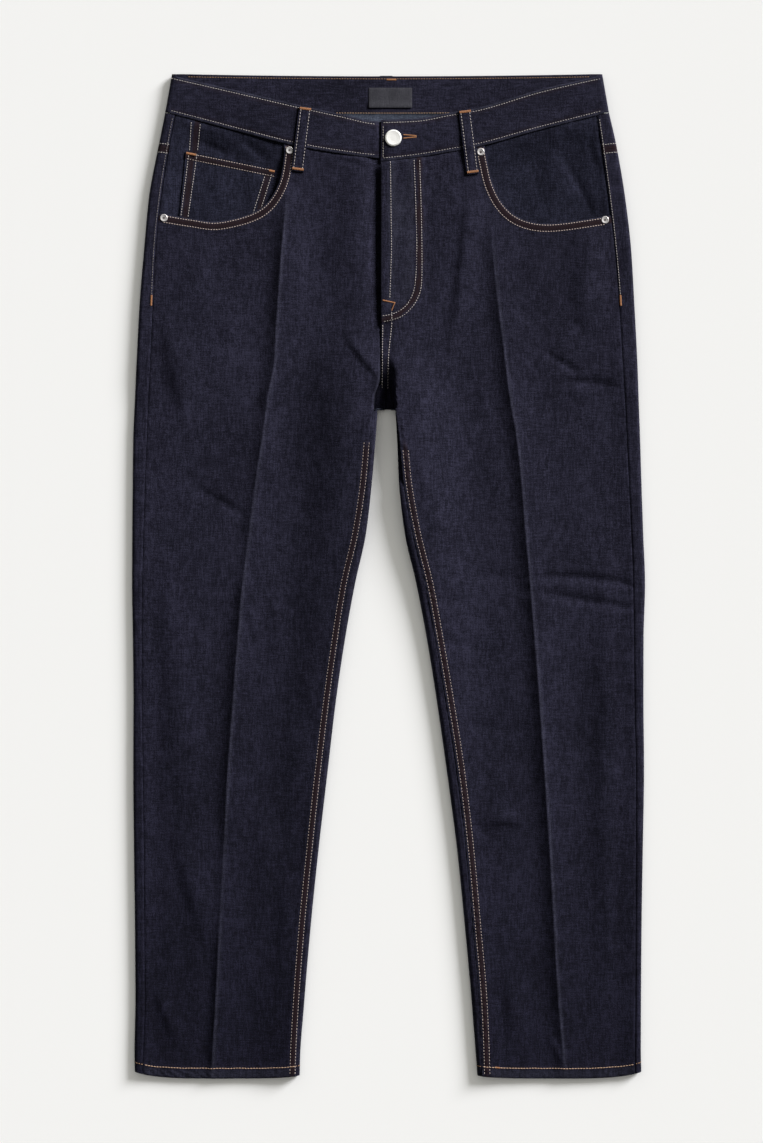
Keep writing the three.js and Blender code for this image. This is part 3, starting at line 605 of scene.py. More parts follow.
def seat(y):
    return smooth(y, 172, 216)


def baseAt(y):
    return tube["lift"] + tube["seatLift"] * seat(y)


def foldAt(y):
    return mix(tube["legFold"], tube["hipFold"], seat(y))


def middleAt(y):
    return mix(tube["legMiddle"], tube["hipMiddle"], smooth(y, 60, 230))


def innerLimit(leg, y):  # the inner side fold, and above the fork a line just past the seam
    lap = leg["inseam"](tube["forkEdge"]) - leg["inner"](tube["forkEdge"])
    return np.where(y < tube["forkEdge"], leg["inner"](y), leg["inseam"](y) - lap)


def innerWidth(leg, y):
    room = (leg["inseam"](y) - leg["inner"](y)) * leg["side"]
    return np.where(y < tube["forkEdge"], np.clip(room - 0.6, 2, foldAt(y) / 2), 2)


def innerFoldHeight(leg, y):
    return foldAt(y) + leg["thigh"](y)


def rollShare(y):  # how much of the inner fold's height curves in above its widest point
    return mix(0.5, 0.14, smooth(y, -60, 90))


def thighRise(leg, fromInner, y):  # the full inner thigh, highest from its fold to its crest
    crest, reach = leg["thighCrest"](y), leg["thighReach"](y)
    return leg["thigh"](y) * (1 - smooth((fromInner - crest) / (reach - crest), 0, 1))


def legTop(leg, x, y):  # upper surface of the laid-flat tube, before wrinkles
    fold = foldAt(y)
    radius = fold / 2
    fromOuter = np.abs(x - leg["outer"](y))
    fromInner = np.maximum((x - innerLimit(leg, y)) * leg["side"], 0)
    roll = np.clip(fromOuter / radius, 0, 1)
    settled = mix(fold, middleAt(y), smooth(fromOuter, radius, radius + tube["outerFall"]))
    height = np.where(roll < 1, radius * (1 + np.sqrt(1 - (1 - roll) ** 2)), settled)
    towardsInner = 1 - smooth(fromInner, 4, tube["innerFall"])
    height = height + (fold - middleAt(y)) * towardsInner + thighRise(leg, fromInner, y)
    innerRoll = np.clip(fromInner / innerWidth(leg, y), 0, 1)
    rolled = innerFoldHeight(leg, y) * rollShare(y) * (1 - smooth(y, 168, 174))
    return baseAt(y) + height - rolled * (1 - np.sqrt(1 - (1 - innerRoll) ** 2))


def forkValley(leg, x, y):  # the two legs dive to the seam between them above the fork
    fromWedge = (x - leg["wedge"](y)) * leg["side"]
    full = innerFoldHeight(leg, y) - tube["valleyFloor"]
    depth = full * smooth(y, tube["forkEdge"], 174) * (1 - smooth(y, 188, 228))
    return depth * (1 - smooth(fromWedge, 0, leg["wedgeWall"]))


def hemEdge(leg, x, y):  # how far the hem curves up at its side folds
    middle = (leg["outer"](y) + leg["inner"](y)) / 2
    half = np.abs(leg["outer"](y) - leg["inner"](y)) / 2
    bend = (np.abs(x - middle) / half) ** 4
    lift = np.where((x - middle) * leg["side"] > 0, tube["hemLift"], tube["hemLiftInner"])
    low = -tube["hemLine"]
    return lift * bend * smooth(-np.asarray(y, float), low - tube["hemReach"], low)


def stitched(distance, rows, depth):  # the dent a row of stitches pulls
    return sum(-depth * bump(distance - row, 0.8) for row in rows)


def puckers(distance, along, first, last, pitch, amount, seed):
    window = smooth(distance, first - 1, first + 1) * (1 - smooth(distance, last - 1, last + 1))
    phase = 2 * math.pi * along / pitch + 3.5 * ripple(along, along * 0, 26, 26, seed)
    strength = 0.55 + 0.45 * ripple(along, along * 0, 34, 34, seed + 1)
    return amount * window * strength * np.sin(phase + 0.5 * distance)


def farFrom(path, x, y):  # the distance to a line, in the shape of the given grid
    return distanceTo(x.ravel(), y.ravel(), path).reshape(x.shape)


# The seams of the fronts: where their rows of stitches lie, how much the cloth stands or dips, and
# its puckers, given by their first and last distance from the edge, pitch, height and seed
hem = {
    "row": 10.4, "turn": 0.7, "dent": 0.5, "rub": 0.16, "puckers": (0.5, 9.5, 10.5, 0.26, 15),
    "above": (11, 18, 10.5, 0.18, 15),
}
inseam = {"lap": 0.45, "dent": 0.35, "strip": -0.8, "rub": 0.3, "puckers": (0.5, 9, 9.5, 0.3, 5)}
outseam = {"groove": 0.4, "puckers": (0, 6, 13, 0.14, 8)}
waist = {"groove": 1.0, "puckers": (1, 9, 12, 0.16, 19)}
mouth = {
    "rows": (1.8, 8.2), "turn": 0.55, "dent": 0.35, "strip": -0.85, "rub": 0.25,
    "puckers": (2, 8, 9, 0.16, 21),
}
fly = {
    "stitch": [
        (33.6, 427), (34, 380), (34.2, 330), (33.3, 300), (29.4, 284), (20.8, 271.5), (8, 262), (-7.8, 257.5),
    ],
    "reach": {
        256: -9, 258: -6, 262: 8, 266: 14, 271.5: 20.8, 277: 25.8, 284: 29.4, 292: 32, 300: 33.3, 330: 34.2,
        427: 33.6,
    },
    "sink": {215: 0, 240: 0.8, 262: 2.2, 290: 3.6, 320: 4.3, 430: 4.3},
    "rows": (0, 5.6), "height": 1.5, "dent": 0.3, "strip": -0.8, "paintedLight": 0.17,
}
edgeDrop = 0.5  # how far the cloth rounds down at its cut edges
flyStitch = throughPoints(fly["stitch"], 8)
flyReach = asCurve(fly["reach"])
flySink = asCurve(fly["sink"])


def creaseRidge(leg, x, y):  # a pressed edge, hollow on its left and falling slowly on its right
    across = x - leg["crease"](y)
    hollow = np.clip(1 + across / leg["pressWidth"](y), 0, 1) ** 2
    fall = 0.2 * np.exp(-np.maximum(across, 0) / 2.4) + 0.8 * np.clip(1 - across / 46, 0, 1) ** 2
    return leg["press"](y) * np.where(across < 0, hollow, fall)


def softness(x, y, seed):  # the slight unevenness of worn-in cloth
    broad = 0.55 * ripple(x, y, 42, 95, seed) + 0.28 * ripple(x, y, 17, 38, seed + 1)
    return broad + 0.07 * ripple(x, y, 6, 9, seed + 2)


def frontTop(leg, x, y):
    x, y = np.asarray(x, float), np.asarray(y, float)
    side = leg["side"]
    level = y - hemEdge(leg, x, y)
    height = legTop(leg, x, level) + creaseRidge(leg, x, y) + foldHeight(leg["folds"], x, y)
    height -= forkValley(leg, x, y)
    fromOutseam = (leg["outseam"](level) - x) * side
    fromInseam = (x - leg["inseam"](level)) * side
    fromHem = level - tube["hemLine"]
    fromWaist = leg["bandLower"](x) - y
    fromMouth = farFrom(leg["mouth"], x, y)
    calm = smooth(np.minimum(fromOutseam, fromInseam), 1, 16) * smooth(fromHem, 4, 20)
    height += softness(x, y, leg["seed"]) * (0.35 + 0.65 * calm)
    relief = inseam["lap"] * (1 - smooth(fromInseam, 8, 11))
    relief = relief + stitched(fromInseam, leg["inseamRows"], inseam["dent"])
    relief = relief + puckers(fromInseam, y, *inseam["puckers"])
    height += relief * (1 - smooth(y, 150, 176))
    height += -outseam["groove"] * bump(fromOutseam, 0.9) + puckers(fromOutseam, y, *outseam["puckers"])
    relief = hem["turn"] * (1 - smooth(fromHem, 10.6, 12.6)) + stitched(fromHem, (hem["row"],), hem["dent"])
    relief = relief + puckers(fromHem, x + 0.7 * fromHem, *hem["puckers"])
    height += relief + puckers(fromHem, x, *hem["above"])
    height += -waist["groove"] * bump(fromWaist, 1.6) + puckers(fromWaist, x, *waist["puckers"])
    relief = mouth["turn"] * (1 - smooth(fromMouth, 8.4, 10.6))
    relief = relief + stitched(fromMouth, mouth["rows"], mouth["dent"])
    height += relief + puckers(fromMouth, x - y, *mouth["puckers"])
    if side > 0:
        lapped = smooth(flyReach(y) - x, -2.8, -0.6) * smooth(y, 254, 258)
        height += fly["height"] * lapped + stitched(farFrom(flyStitch, x, y), fly["rows"], fly["dent"])
    else:
        height -= flySink(y) * smooth(x, -27, -9) * smooth(y, 216, 240)
    nearEdge = np.minimum.reduce([np.abs(fromInseam), fromHem, fromMouth])
    return height - edgeDrop * bump(nearEdge, 0.7)


def between(distance, first, last):
    return smooth(distance, first - 0.6, first + 0.6) * (1 - smooth(distance, last - 0.6, last + 0.6))


def frontTone(leg, x, y):  # below 0 the dark strip between two rows, above 0 the rubbed edges, the painted highlight beside the crease and the painted light on the fly strip
    level = y - hemEdge(leg, x, y)
    fromInseam = (x - leg["inseam"](level)) * leg["side"]
    fromMouth = distanceTo(x, y, leg["mouth"])
    fromCrease = x - leg["crease"](y)
    sewnUpTo = 1 - smooth(y, 124, 142)
    first, last = leg["inseamRows"]
    tone = inseam["strip"] * between(fromInseam, first + 0.4, last - 0.4) * sewnUpTo
    tone = tone + mouth["strip"] * between(fromMouth, 2.3, 7.8)
    # painted highlight: a light line just right of the pressed crease, on its side that faces the lamp
    tone = tone + 0.22 * bump(fromCrease - 1.4, 1.6) * smooth(leg["press"](y), 0.8, 2.4)
    tone = tone + inseam["rub"] * bump(fromInseam, 1.0) + mouth["rub"] * bump(fromMouth, 1.0)
    tone = tone + hem["rub"] * (1 - smooth(level - tube["hemLine"], 7, 9.6))
    if leg["side"] > 0:
        outside = smooth(flyReach(y) - x, -1, 1) * smooth(y, 255, 260)
        onFly = smooth(flyReach(y) - 7 - x, 0, 3) * smooth(y, 268, 284) * smooth(x, -4, 2)
        tone = tone + fly["strip"] * between(distanceTo(x, y, flyStitch), -2, 5.4) * outside
        # painted light: the fly strip, which tilts towards the lamp, is drawn lighter, with streaks along it
        tone = tone + fly["paintedLight"] * onFly * (1 + ripple(x, y, 6, 40, 26))
    return tone


def frontOutline(leg):
    side, gap = leg["side"], tube["seamGap"]
    lowest = tube["hemLine"] - 0.5
    hemX = np.linspace(leg["outseam"](lowest) - side * gap / 2, leg["inseam"](lowest) + side * gap / 2, 60)
    foot = np.column_stack((hemX, tube["hemLine"] + hemEdge(leg, hemX, tube["hemLine"])))
    top = leg["bandLower"](leg["inseam"](430.0)) - gap
    up = np.arange(foot[-1][1] + 2, top - 1, 2.0)
    inner = np.column_stack((leg["inseam"](up) + side * gap / 2, up))
    curve = evenly(leg["mouth"], 1.8)
    belowBand = curve[:, 1] < leg["bandLower"](curve[:, 0]) - gap
    curve = curve[belowBand & (side * (leg["outseam"](curve[:, 1]) - curve[:, 0]) > gap / 2)]
    waistX = np.linspace(leg["inseam"](430.0) + side * gap / 2, curve[0][0], 52)
    upper = np.column_stack((waistX, leg["bandLower"](waistX) - gap))
    down = np.arange(curve[-1][1] - 0.5, foot[0][1] + 1, -2.0)
    outer = np.column_stack((leg["outseam"](down) - side * gap / 2, down))
    return np.vstack((foot, inner, upper, curve[1:], outer))


def frontFill(leg):  # points packed close along the pressed crease and wider away from it
    near = [0, 0.9, 1.9, 3.1, 4.6, 6.4, 8.6]
    offsets = np.array(near + list(np.arange(12, 150, 3.6)))
    across = np.concatenate((-offsets[:0:-1], offsets))
    rows = np.arange(-506, 446, 3.2)
    x = leg["crease"](rows)[:, None] + across[None, :]
    return np.column_stack((x.ravel(), np.repeat(rows, len(across))))


def ride(piece, slot, *nodes):
    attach(piece, "root")
    if nodes:
        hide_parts(*nodes)


for leg in legs:
    surface, tone = partial(frontTop, leg), partial(frontTone, leg)
    name = leg["name"]
    front = panelCloth(
        f"frontPanel_{name}", frontOutline(leg), frontFill(leg), surface, tone, tube["wall"], denim
    )
    ride(front, "denim", f"front_{name}")
print("front panels ready")


# Back panels and yokes: from the outseam round the side fold, under the leg and up to the inseam
stripShares = np.array([0, 0.05, 0.11, 0.18, 0.26, 0.35, 0.45, 0.57, 0.7, 0.85])
rollSteps = np.linspace(0, 1, 11)
underShares = np.linspace(0.03, 0.97, 22)
lapShares = np.array([0.2, 0.36, 0.5, 0.62, 0.73, 0.83, 0.92, 1])
partEnds = np.cumsum([len(part) for part in (stripShares, rollSteps, underShares, rollSteps, lapShares)])
backSeam = {"groove": 0.4, "ridge": 0.15, "yokeRise": 436.5, "yokeSlope": 0.11, "yokeRows": (4.6, -4.2)}
wrap = {
    "narrowRoom": 3, "wideRoom": 5, "leastRoom": 2, "clear": 0.6, "offCentre": 0.02, "forkLift": 1.2,
    "closedFrom": 2, "closedTo": 4, "underStop": 12, "flatReach": 9, "flatLap": 1.29, "pastSeam": 1.5,
    "sunk": 0.4, "puff": 0.35, "tuck": 0.9, "wave": 0.25,
}


def outerStripTop(leg, x, y):
    fromSeam = (x - leg["outseam"](y)) * leg["side"]
    relief = -backSeam["groove"] * bump(fromSeam, 0.9) + backSeam["ridge"] * bump(fromSeam - 2.4, 1.3)
    return legTop(leg, x, y) + relief + 0.12 * ripple(x, y, 8, 14, 44)


def innerEnd(leg, y):
    side = leg["side"]
    room = (leg["inseam"](y) - leg["inner"](y)) * side
    clear = smooth(room, wrap["narrowRoom"], wrap["wideRoom"])
    height = mix(tube["forkHeight"], innerFoldHeight(leg, y), clear)
    onLeg = y < tube["forkEdge"]
    middle = tube["centreBack"] + side * wrap["offCentre"]
    foldX = np.where(onLeg, leg["inner"](y) + side * (1 - clear), middle)
    height = np.where(onLeg, height, tube["forkHeight"] + wrap["forkLift"])
    free = np.maximum(room - wrap["clear"], wrap["leastRoom"])
    width = np.where(onLeg, np.minimum(height / 2, free), tube["forkHeight"] / 2)
    opening = smooth(y, tube["crotchPoint"] + wrap["closedFrom"], tube["forkTop"] + wrap["closedTo"])
    closed = np.where(onLeg, 1, 1 - opening)
    return foldX, height, width, closed


def backSection(leg, y):  # x and z of every column, at one height a row or one for every column
    side, gap = leg["side"], tube["seamGap"]
    y = np.asarray(y, float)
    if y.ndim == 1:
        y = np.repeat(y[:, None], partEnds[-1], axis=1)
    yStrip, yOuter, yUnder, yInner, yLap = np.split(y, partEnds[:-1], axis=1)
    turn = math.pi * rollSteps

    crest = leg["outer"](yStrip) - side * foldAt(yStrip) / 2
    stripX = mix(leg["outseam"](yStrip) + side * gap / 2, crest, stripShares)
    stripZ = outerStripTop(leg, stripX, yStrip)

    radius = foldAt(yOuter) / 2
    outerX = leg["outer"](yOuter) - side * radius * (1 - np.sin(turn))
    outerZ = baseAt(yOuter) + radius * (1 + np.cos(turn))

    foldX = innerEnd(leg, yUnder)[0]
    underStart = leg["outer"](yUnder) - side * foldAt(yUnder) / 2
    underX = mix(underStart, foldX + side * wrap["underStop"], underShares)
    underZ = baseAt(yUnder)

    foldX, height, width, closed = innerEnd(leg, yInner)
    rolledX = foldX + side * width * (1 - np.sin(turn))
    swell = np.where(yInner < tube["forkEdge"], np.log(1 - rollShare(yInner)) / math.log(0.5), 1)
    rolledZ = baseAt(yInner) + height * ((1 - np.cos(turn)) / 2) ** swell
    flatX = foldX + side * wrap["flatReach"] * (1 - (rollSteps + 0.2) / 1.4)
    innerX = mix(flatX, rolledX, closed)
    innerZ = mix(baseAt(yInner), rolledZ, closed)

    foldX, height, width, closed = innerEnd(leg, yLap)
    seamX = leg["inseam"](yLap) - side * gap / 2
    reach = np.maximum((seamX - foldX) * side, width + 0.5)
    overX = foldX + side * mix(width, reach + wrap["pastSeam"], lapShares)
    lapX = mix(foldX + side * wrap["flatLap"] * (1 - lapShares), overX, closed)
    puff = wrap["puff"] * np.sin(math.pi * lapShares) - wrap["tuck"] * smooth(lapShares, 0.6, 1)
    puff = puff + wrap["wave"] * ripple(lapX, yLap, 9, 13, 71)
    top = np.where(yLap < tube["forkEdge"], legTop(leg, overX, yLap), baseAt(yLap) + height)
    lapZ = mix(baseAt(yLap), top - wrap["sunk"] + puff, closed)
    x = np.hstack((stripX, outerX, underX, innerX, lapX))
    return x, np.hstack((stripZ, outerZ, underZ, innerZ, lapZ))


def yokeSeamY(leg, x, y):
    return backSeam["yokeRise"] - backSeam["yokeSlope"] * np.abs(x - leg["outer"](y))


def yokeTone(leg, grid):  # the dark strip between the two rows of the yoke seam
    x, y = grid[..., 0], grid[..., 1]
    return -0.8 * (1 - smooth(np.abs(y - yokeSeamY(leg, x, y)), 2.8, 4.4))


def backGrid(leg, fixed, shares, lowAt, highAt):
    # rows at fixed heights, then rows at shares of the way between two slanting lines
    grids = []
    if len(fixed):
        x, z = backSection(leg, fixed)
        rows = np.broadcast_to(np.asarray(fixed, float)[:, None], x.shape)
        grids.append(np.dstack((x, rows + hemEdge(leg, x, rows), z)))
    if len(shares):
        share = np.asarray(shares, float)[:, None]
        y = np.repeat(mix(400.0, 450.0, share), partEnds[-1], axis=1)
        for step in range(5):
            x, z = backSection(leg, y)
            y = mix(lowAt(x, y), highAt(x, y), share)
        grids.append(np.dstack((x, y, z)))
    return np.concatenate(grids)


legRows = np.concatenate(
    (
        [-512.5, -511.6, -510, -508, -506, -504, -502.6, -501.4, -500.4],
        np.arange(-498, 166, 3.2),
        [166.5, 168, 169, 169.6, 170.2, 170.9, 171.8, 173, 175, 178, 181, 184, 187],
        np.arange(189, 204, 2),
        np.arange(206, 374, 4),
    )
)
seatShares = np.concatenate((np.linspace(0.06, 0.9, 14), [0.93, 0.955, 1]))
yokeShares = np.linspace(0, 1, 22)
stripColumns = len(stripShares) + 4


def yokeEdge(leg, offset, x, y):
    return yokeSeamY(leg, x, y) + offset


def waistSeamAt(leg, x, y):  # the front of the band slopes, and its back is straight
    edge = np.full(np.shape(x), tube["waistSeam"] - tube["seamGap"])
    edge[:, :stripColumns] = leg["bandLower"](x[:, :stripColumns]) - tube["seamGap"]
    return edge


def backCloth(leg, name, grid):
    turned, tone = leg["side"] < 0, yokeTone(leg, grid)
    return gridCloth(f"{name}_{leg['name']}", grid, tube["wall"], denim, turned, denimReverse, tone)


for leg in legs:
    halfGap = tube["seamGap"] / 2
    grid = backGrid(leg, legRows, seatShares, lambda x, y: 372.0, partial(yokeEdge, leg, -halfGap))
    back = backCloth(leg, "backPanel", grid)
    ride(back, "denim", f"back_{leg['name']}")
    grid = backGrid(leg, [], yokeShares, partial(yokeEdge, leg, halfGap), partial(waistSeamAt, leg))
    yoke = backCloth(leg, "yokePiece", grid)
    ride(yoke, "denim", f"yoke_{leg['name']}")
print("back panels and yokes ready")


# Waistband: one folded band all the way round
band = {
    "thickness": 2.2, "lean": 0.97, "top": 9.35, "endX": -7.8, "underX": 16, "lowRow": 3.4, "highRow": 3.0,
    "dent": 0.35, "dip": 2.4, "dipHalf": 224, "offSeam": 0.15, "crown": 0.45, "edge": 0.5,
}
underLap = {"slope": 1.1, "slopeFrom": 22, "step": 2.3, "stepFrom": 4, "stepTo": 0.6, "overRise": 6}
bandShares = np.concatenate(([0, 0.02, 0.045, 0.07], np.linspace(0.11, 0.89, 12), [0.93, 0.955, 0.98, 1]))


def bandFrontZ(leg, x, y):
    lower, upper = leg["bandLower"](x), leg["bandUpper"](x)
    endX = band["endX"]
    if leg["side"] < 0:  # the right end passes under the left one
        step = endX - underLap["stepFrom"]
        sink = underLap["slope"] * smooth(x, endX - underLap["slopeFrom"], step)
        sink = sink + underLap["step"] * smooth(x, step, endX - underLap["stepTo"])
    else:
        sink = 1 - smooth(x, endX, endX + underLap["overRise"])
    fromLow, fromHigh = y - lower, upper - y
    relief = stitched(fromLow, (band["lowRow"],), band["dent"])
    relief = relief + stitched(fromHigh, (band["highRow"],), band["dent"])
    relief = relief + puckers(fromLow, x, 0.5, 7, 9, 0.16, 61) + puckers(fromHigh, x, 0.5, 7, 9.5, 0.16, 63)
    relief = relief + band["crown"] * np.sin(math.pi * np.clip(fromLow / (upper - lower), 0, 1))
    relief = relief + 0.28 * ripple(x, y, 30, 15, 65) + 0.1 * ripple(x, y, 9, 6, 66)
    return band["top"] - sink + relief - band["edge"] * bump(np.minimum(fromLow, fromHigh), 0.7)


def backEdgeY(x):  # the upper edge of the band at the back, which dips a little in the middle
    return tube["waistTop"] - band["dip"] * (1 - (x / band["dipHalf"]) ** 2)


def bandStations():  # the lower and upper edge round the waist, and each station's leg and height
    low, high, kinds = [], [], []
    base = tube["seatLift"] + tube["lift"]
    radius = (band["top"] - tube["seatLift"] - tube["lift"]) / 2
    seamY = tube["waistSeam"] + band["offSeam"]

    def frontPart(leg, xs):
        for x in xs:
            low.append((x, float(leg["bandLower"](x)) + band["offSeam"]))
            upperX = x * band["lean"]
            high.append((upperX, float(leg["bandUpper"](upperX))))
            kinds.append((leg, None))

    def sidePart(leg, angles):
        for angle in angles:
            z = base + radius * (1 + math.cos(angle))
            inwards = leg["side"] * radius * (1 - math.sin(angle))
            outer = float(leg["outer"](tube["waistSeam"]))
            low.append((outer - inwards, seamY))
            high.append((outer * band["lean"] - inwards, tube["waistTop"] - z / 9.2))
            kinds.append((leg, z))

    angles = np.linspace(0, math.pi, 11)
    frontPart(rightLeg, np.arange(band["underX"], -222, -2.2))
    sidePart(rightLeg, angles)
    for x in np.arange(-216, 217, 6.0):
        low.append((x, seamY))
        high.append((x * band["lean"], backEdgeY(x)))
        kinds.append((None, base))
    sidePart(leftLeg, angles[::-1])
    frontPart(leftLeg, np.append(np.arange(218, band["endX"] + 1, -2.2), band["endX"]))
    return np.array(low), np.array(high), kinds


low, high, kinds = bandStations()
plan = mix(low[None], high[None], bandShares[:, None, None])
bandZ, bandTone = np.zeros(plan.shape[:2]), np.zeros(plan.shape[:2])
for column, (leg, z) in enumerate(kinds):
    xs, ys = plan[:, column, 0], plan[:, column, 1]
    if z is None:
        bandZ[:, column] = bandFrontZ(leg, xs, ys)
        nearest = np.minimum(ys - ys.min(), ys.max() - ys)
        bandTone[:, column] = 0.32 * bump(nearest - 0.8, 1.2) - 0.3 * bump(nearest - 4.6, 1.2)
    else:
        bandZ[:, column] = z
grid = np.dstack((plan, bandZ))
waistband = gridCloth("waistbandLoop", grid, band["thickness"], denimAcross, flip=True, tone=bandTone)
ride(waistband, "denim", "waistband")
print("waistband ready")

# Pocket facings, seen in the pocket mouths
facing = {
    "wall": 0.9, "depth": 26, "edgeDrop": 1.7, "gape": 2.9, "rise": 1.1, "stripX": -199.4, "stripY": 448,
    "stripLean": 0.1, "stripWidth": 5.6, "stripFoot": 430, "waistGroove": 0.5, "sideGroove": 0.4,
}


def facingTop(leg, x, y):
    fromOutseam = (leg["outseam"](y) - x) * leg["side"]
    fromWaist = leg["bandLower"](x) - y
    fromLoop = np.abs(x - leg["mouth"][0][0])
    slack = smooth(fromOutseam, 0, 34) * smooth(fromWaist, 0, 30)
    held = (1 - smooth(fromWaist, 2, 24)) * smooth(fromLoop, 14, 50) + 0.5 * (1 - smooth(fromOutseam, 1, 12))
    height = legTop(leg, x, y) - facing["edgeDrop"] - facing["gape"] * slack
    height = height + facing["rise"] * np.minimum(held, 1) + foldHeight(leg["facingFolds"], x, y)
    height = height + 0.5 * ripple(x, y, 24, 34, 81) + 0.2 * ripple(x, y, 9, 12, 82)
    height = height - facing["waistGroove"] * bump(fromWaist, 1.8)
    return height - facing["sideGroove"] * bump(fromOutseam, 1.5)


def facingTone(x, y):  # the dark strip between the two rows above the coin pocket
    fromRow = x - facing["stripX"] - facing["stripLean"] * (y - facing["stripY"])
    return -0.7 * between(fromRow, 0, facing["stripWidth"]) * (y > facing["stripFoot"])


def facingGrid(leg):
    innerX = leg["mouth"][0][0] - leg["side"] * facing["depth"]
    foot = float(leg["mouth"][:, 1].min()) - facing["depth"]
    across, up = np.meshgrid(np.linspace(0, 1, 76), np.linspace(0, 1, 60))
    x, y = np.full(up.shape, innerX), np.full(up.shape, foot)
    for step in range(6):
        x = mix(leg["outseam"](y) - leg["side"] * 0.6, innerX, across)
        y = mix(foot, leg["bandLower"](x) - 0.3, up)
    return np.dstack((x, y, facingTop(leg, x, y)))


for leg in legs:
    grid, turned, name = facingGrid(leg), leg["side"] > 0, leg["name"]
    tone = facingTone(grid[..., 0], grid[..., 1])
    lining = gridCloth(f"pocketFacing_{name}", grid, facing["wall"], facingDenim, flip=turned, tone=tone)
    ride(lining, "denim", f"pocket_facing_{name}")

coinPocket = {
    "topLeft": (-206.6, 433.2), "topRight": (-115.6, 414.8), "footRight": (-131, 352),
    "footLeft": (-214.5, 352), "wall": 1.0, "offFacing": 0.35, "rows": (1.6, 7.4), "turn": 0.5,
    "dent": 0.3, "width": 92, "height": 72,
}


def coinTop(x, y):
    left, right = coinPocket["topLeft"], coinPocket["topRight"]
    fromTop = mix(left[1], right[1], (x - left[0]) / (right[0] - left[0])) - y
    relief = coinPocket["turn"] * (1 - smooth(fromTop, 6.5, 8.5))
    relief = relief + stitched(fromTop, coinPocket["rows"], coinPocket["dent"])
    lift = coinPocket["wall"] + coinPocket["offFacing"]
    return facingTop(rightLeg, x, y) + lift + relief + puckers(fromTop, x, 1, 7, 8, 0.15, 91)


coinColumns = np.concatenate(([0, 0.008], np.linspace(0.02, 0.98, 44), [0.992, 1]))
across, up = np.meshgrid(coinColumns, np.linspace(0, 1, 50))
corners = ("footLeft", "topLeft", "footRight", "topRight")
footLeft, topLeft, footRight, topRight = (np.array(coinPocket[corner]) for corner in corners)
leftSide, rightSide = mix(footLeft, topLeft, up[..., None]), mix(footRight, topRight, up[..., None])
plan = mix(leftSide, rightSide, across[..., None])
grid = np.dstack((plan, coinTop(plan[..., 0], plan[..., 1])))
fromSides = np.minimum(across, 1 - across) * coinPocket["width"]
fromTopEdge = (1 - up) * coinPocket["height"]
coinTone = -0.75 * np.maximum(between(fromSides, 3.6, 8.6), between(fromTopEdge, 2.4, 6.8))
coin = gridCloth("coinPocket", grid, coinPocket["wall"], facingDenim, tone=coinTone)
ride(coin, "denim", "coin_pocket")
print("pocket mouths ready")

# Back pockets, under the seat
backPocket = {
    "width": 142, "height": 150, "point": 18, "taper": 9, "centreX": 104, "topY": 398, "wall": 1.1,
    "offFloor": 0.05, "crown": 0.12, "rows": (2.0, 8.0),
}
for leg in legs:
    half = backPocket["width"] / 2
    centre = tube["centreBack"] + leg["side"] * backPocket["centreX"]
    down = np.linspace(0, 1, 60)[:, None]
    across = np.linspace(-1, 1, 57)[None, :]
    x = centre + across * (half - backPocket["taper"] * down)
    y = backPocket["topY"] - down * (backPocket["height"] - backPocket["point"] * np.abs(across))
    crown = backPocket["crown"] * (1 - bump((1 - np.abs(across)) * half, 2))
    z = np.broadcast_to(tube["lift"] + backPocket["offFloor"] + crown, x.shape)
    patch = gridCloth(f"backPocket_{leg['name']}", np.dstack((x, y, z)), backPocket["wall"], denim)
    ride(patch, "denim", f"back_pocket_{leg['name']}")
print("back pockets ready")

# Belt loops
loopCut = {"width": 12.6, "wall": 1.3, "bulge": 0.5, "crown": 0.35, "row": 1.7, "dent": 0.3}
# the foot and the top of each front loop
frontLoops = {"right": ((-92.6, 412.6), (-84.5, 477.6)), "left": ((86, 409.8), (77.7, 474.6))}
backLoops = {
    "places": {"right": -136, "centre": tube["centreBack"], "left": 131},
    "foot": 452, "top": 511, "wall": 1.1, "lift": 0.3, "curl": 0.2,
}


def underLoop(leg, x, y):
    surface = bandFrontZ if leg["bandLower"](x) < y else frontTop
    return float(surface(leg, np.array([x]), np.array([y]))[0])


def loopTop(leg, share):  # centre line of the loop's upper face
    foot, top = frontLoops[leg["name"]]
    x, y = mix(foot[0], top[0], share), mix(foot[1], top[1], share)
    seamShare = (float(leg["bandLower"](x)) - foot[1]) / (top[1] - foot[1])
    low = underLoop(leg, *foot) + loopCut["wall"] + 0.15
    high = band["top"] + 0.5 + loopCut["wall"]
    rise = mix(low, high, float(smooth(share, 0.02, seamShare + 0.08)))
    bulge = loopCut["bulge"] * float(smooth(share, 0.04, 0.3) * (1 - smooth(share, 0.72, 0.97)))
    return x, y, rise + bulge


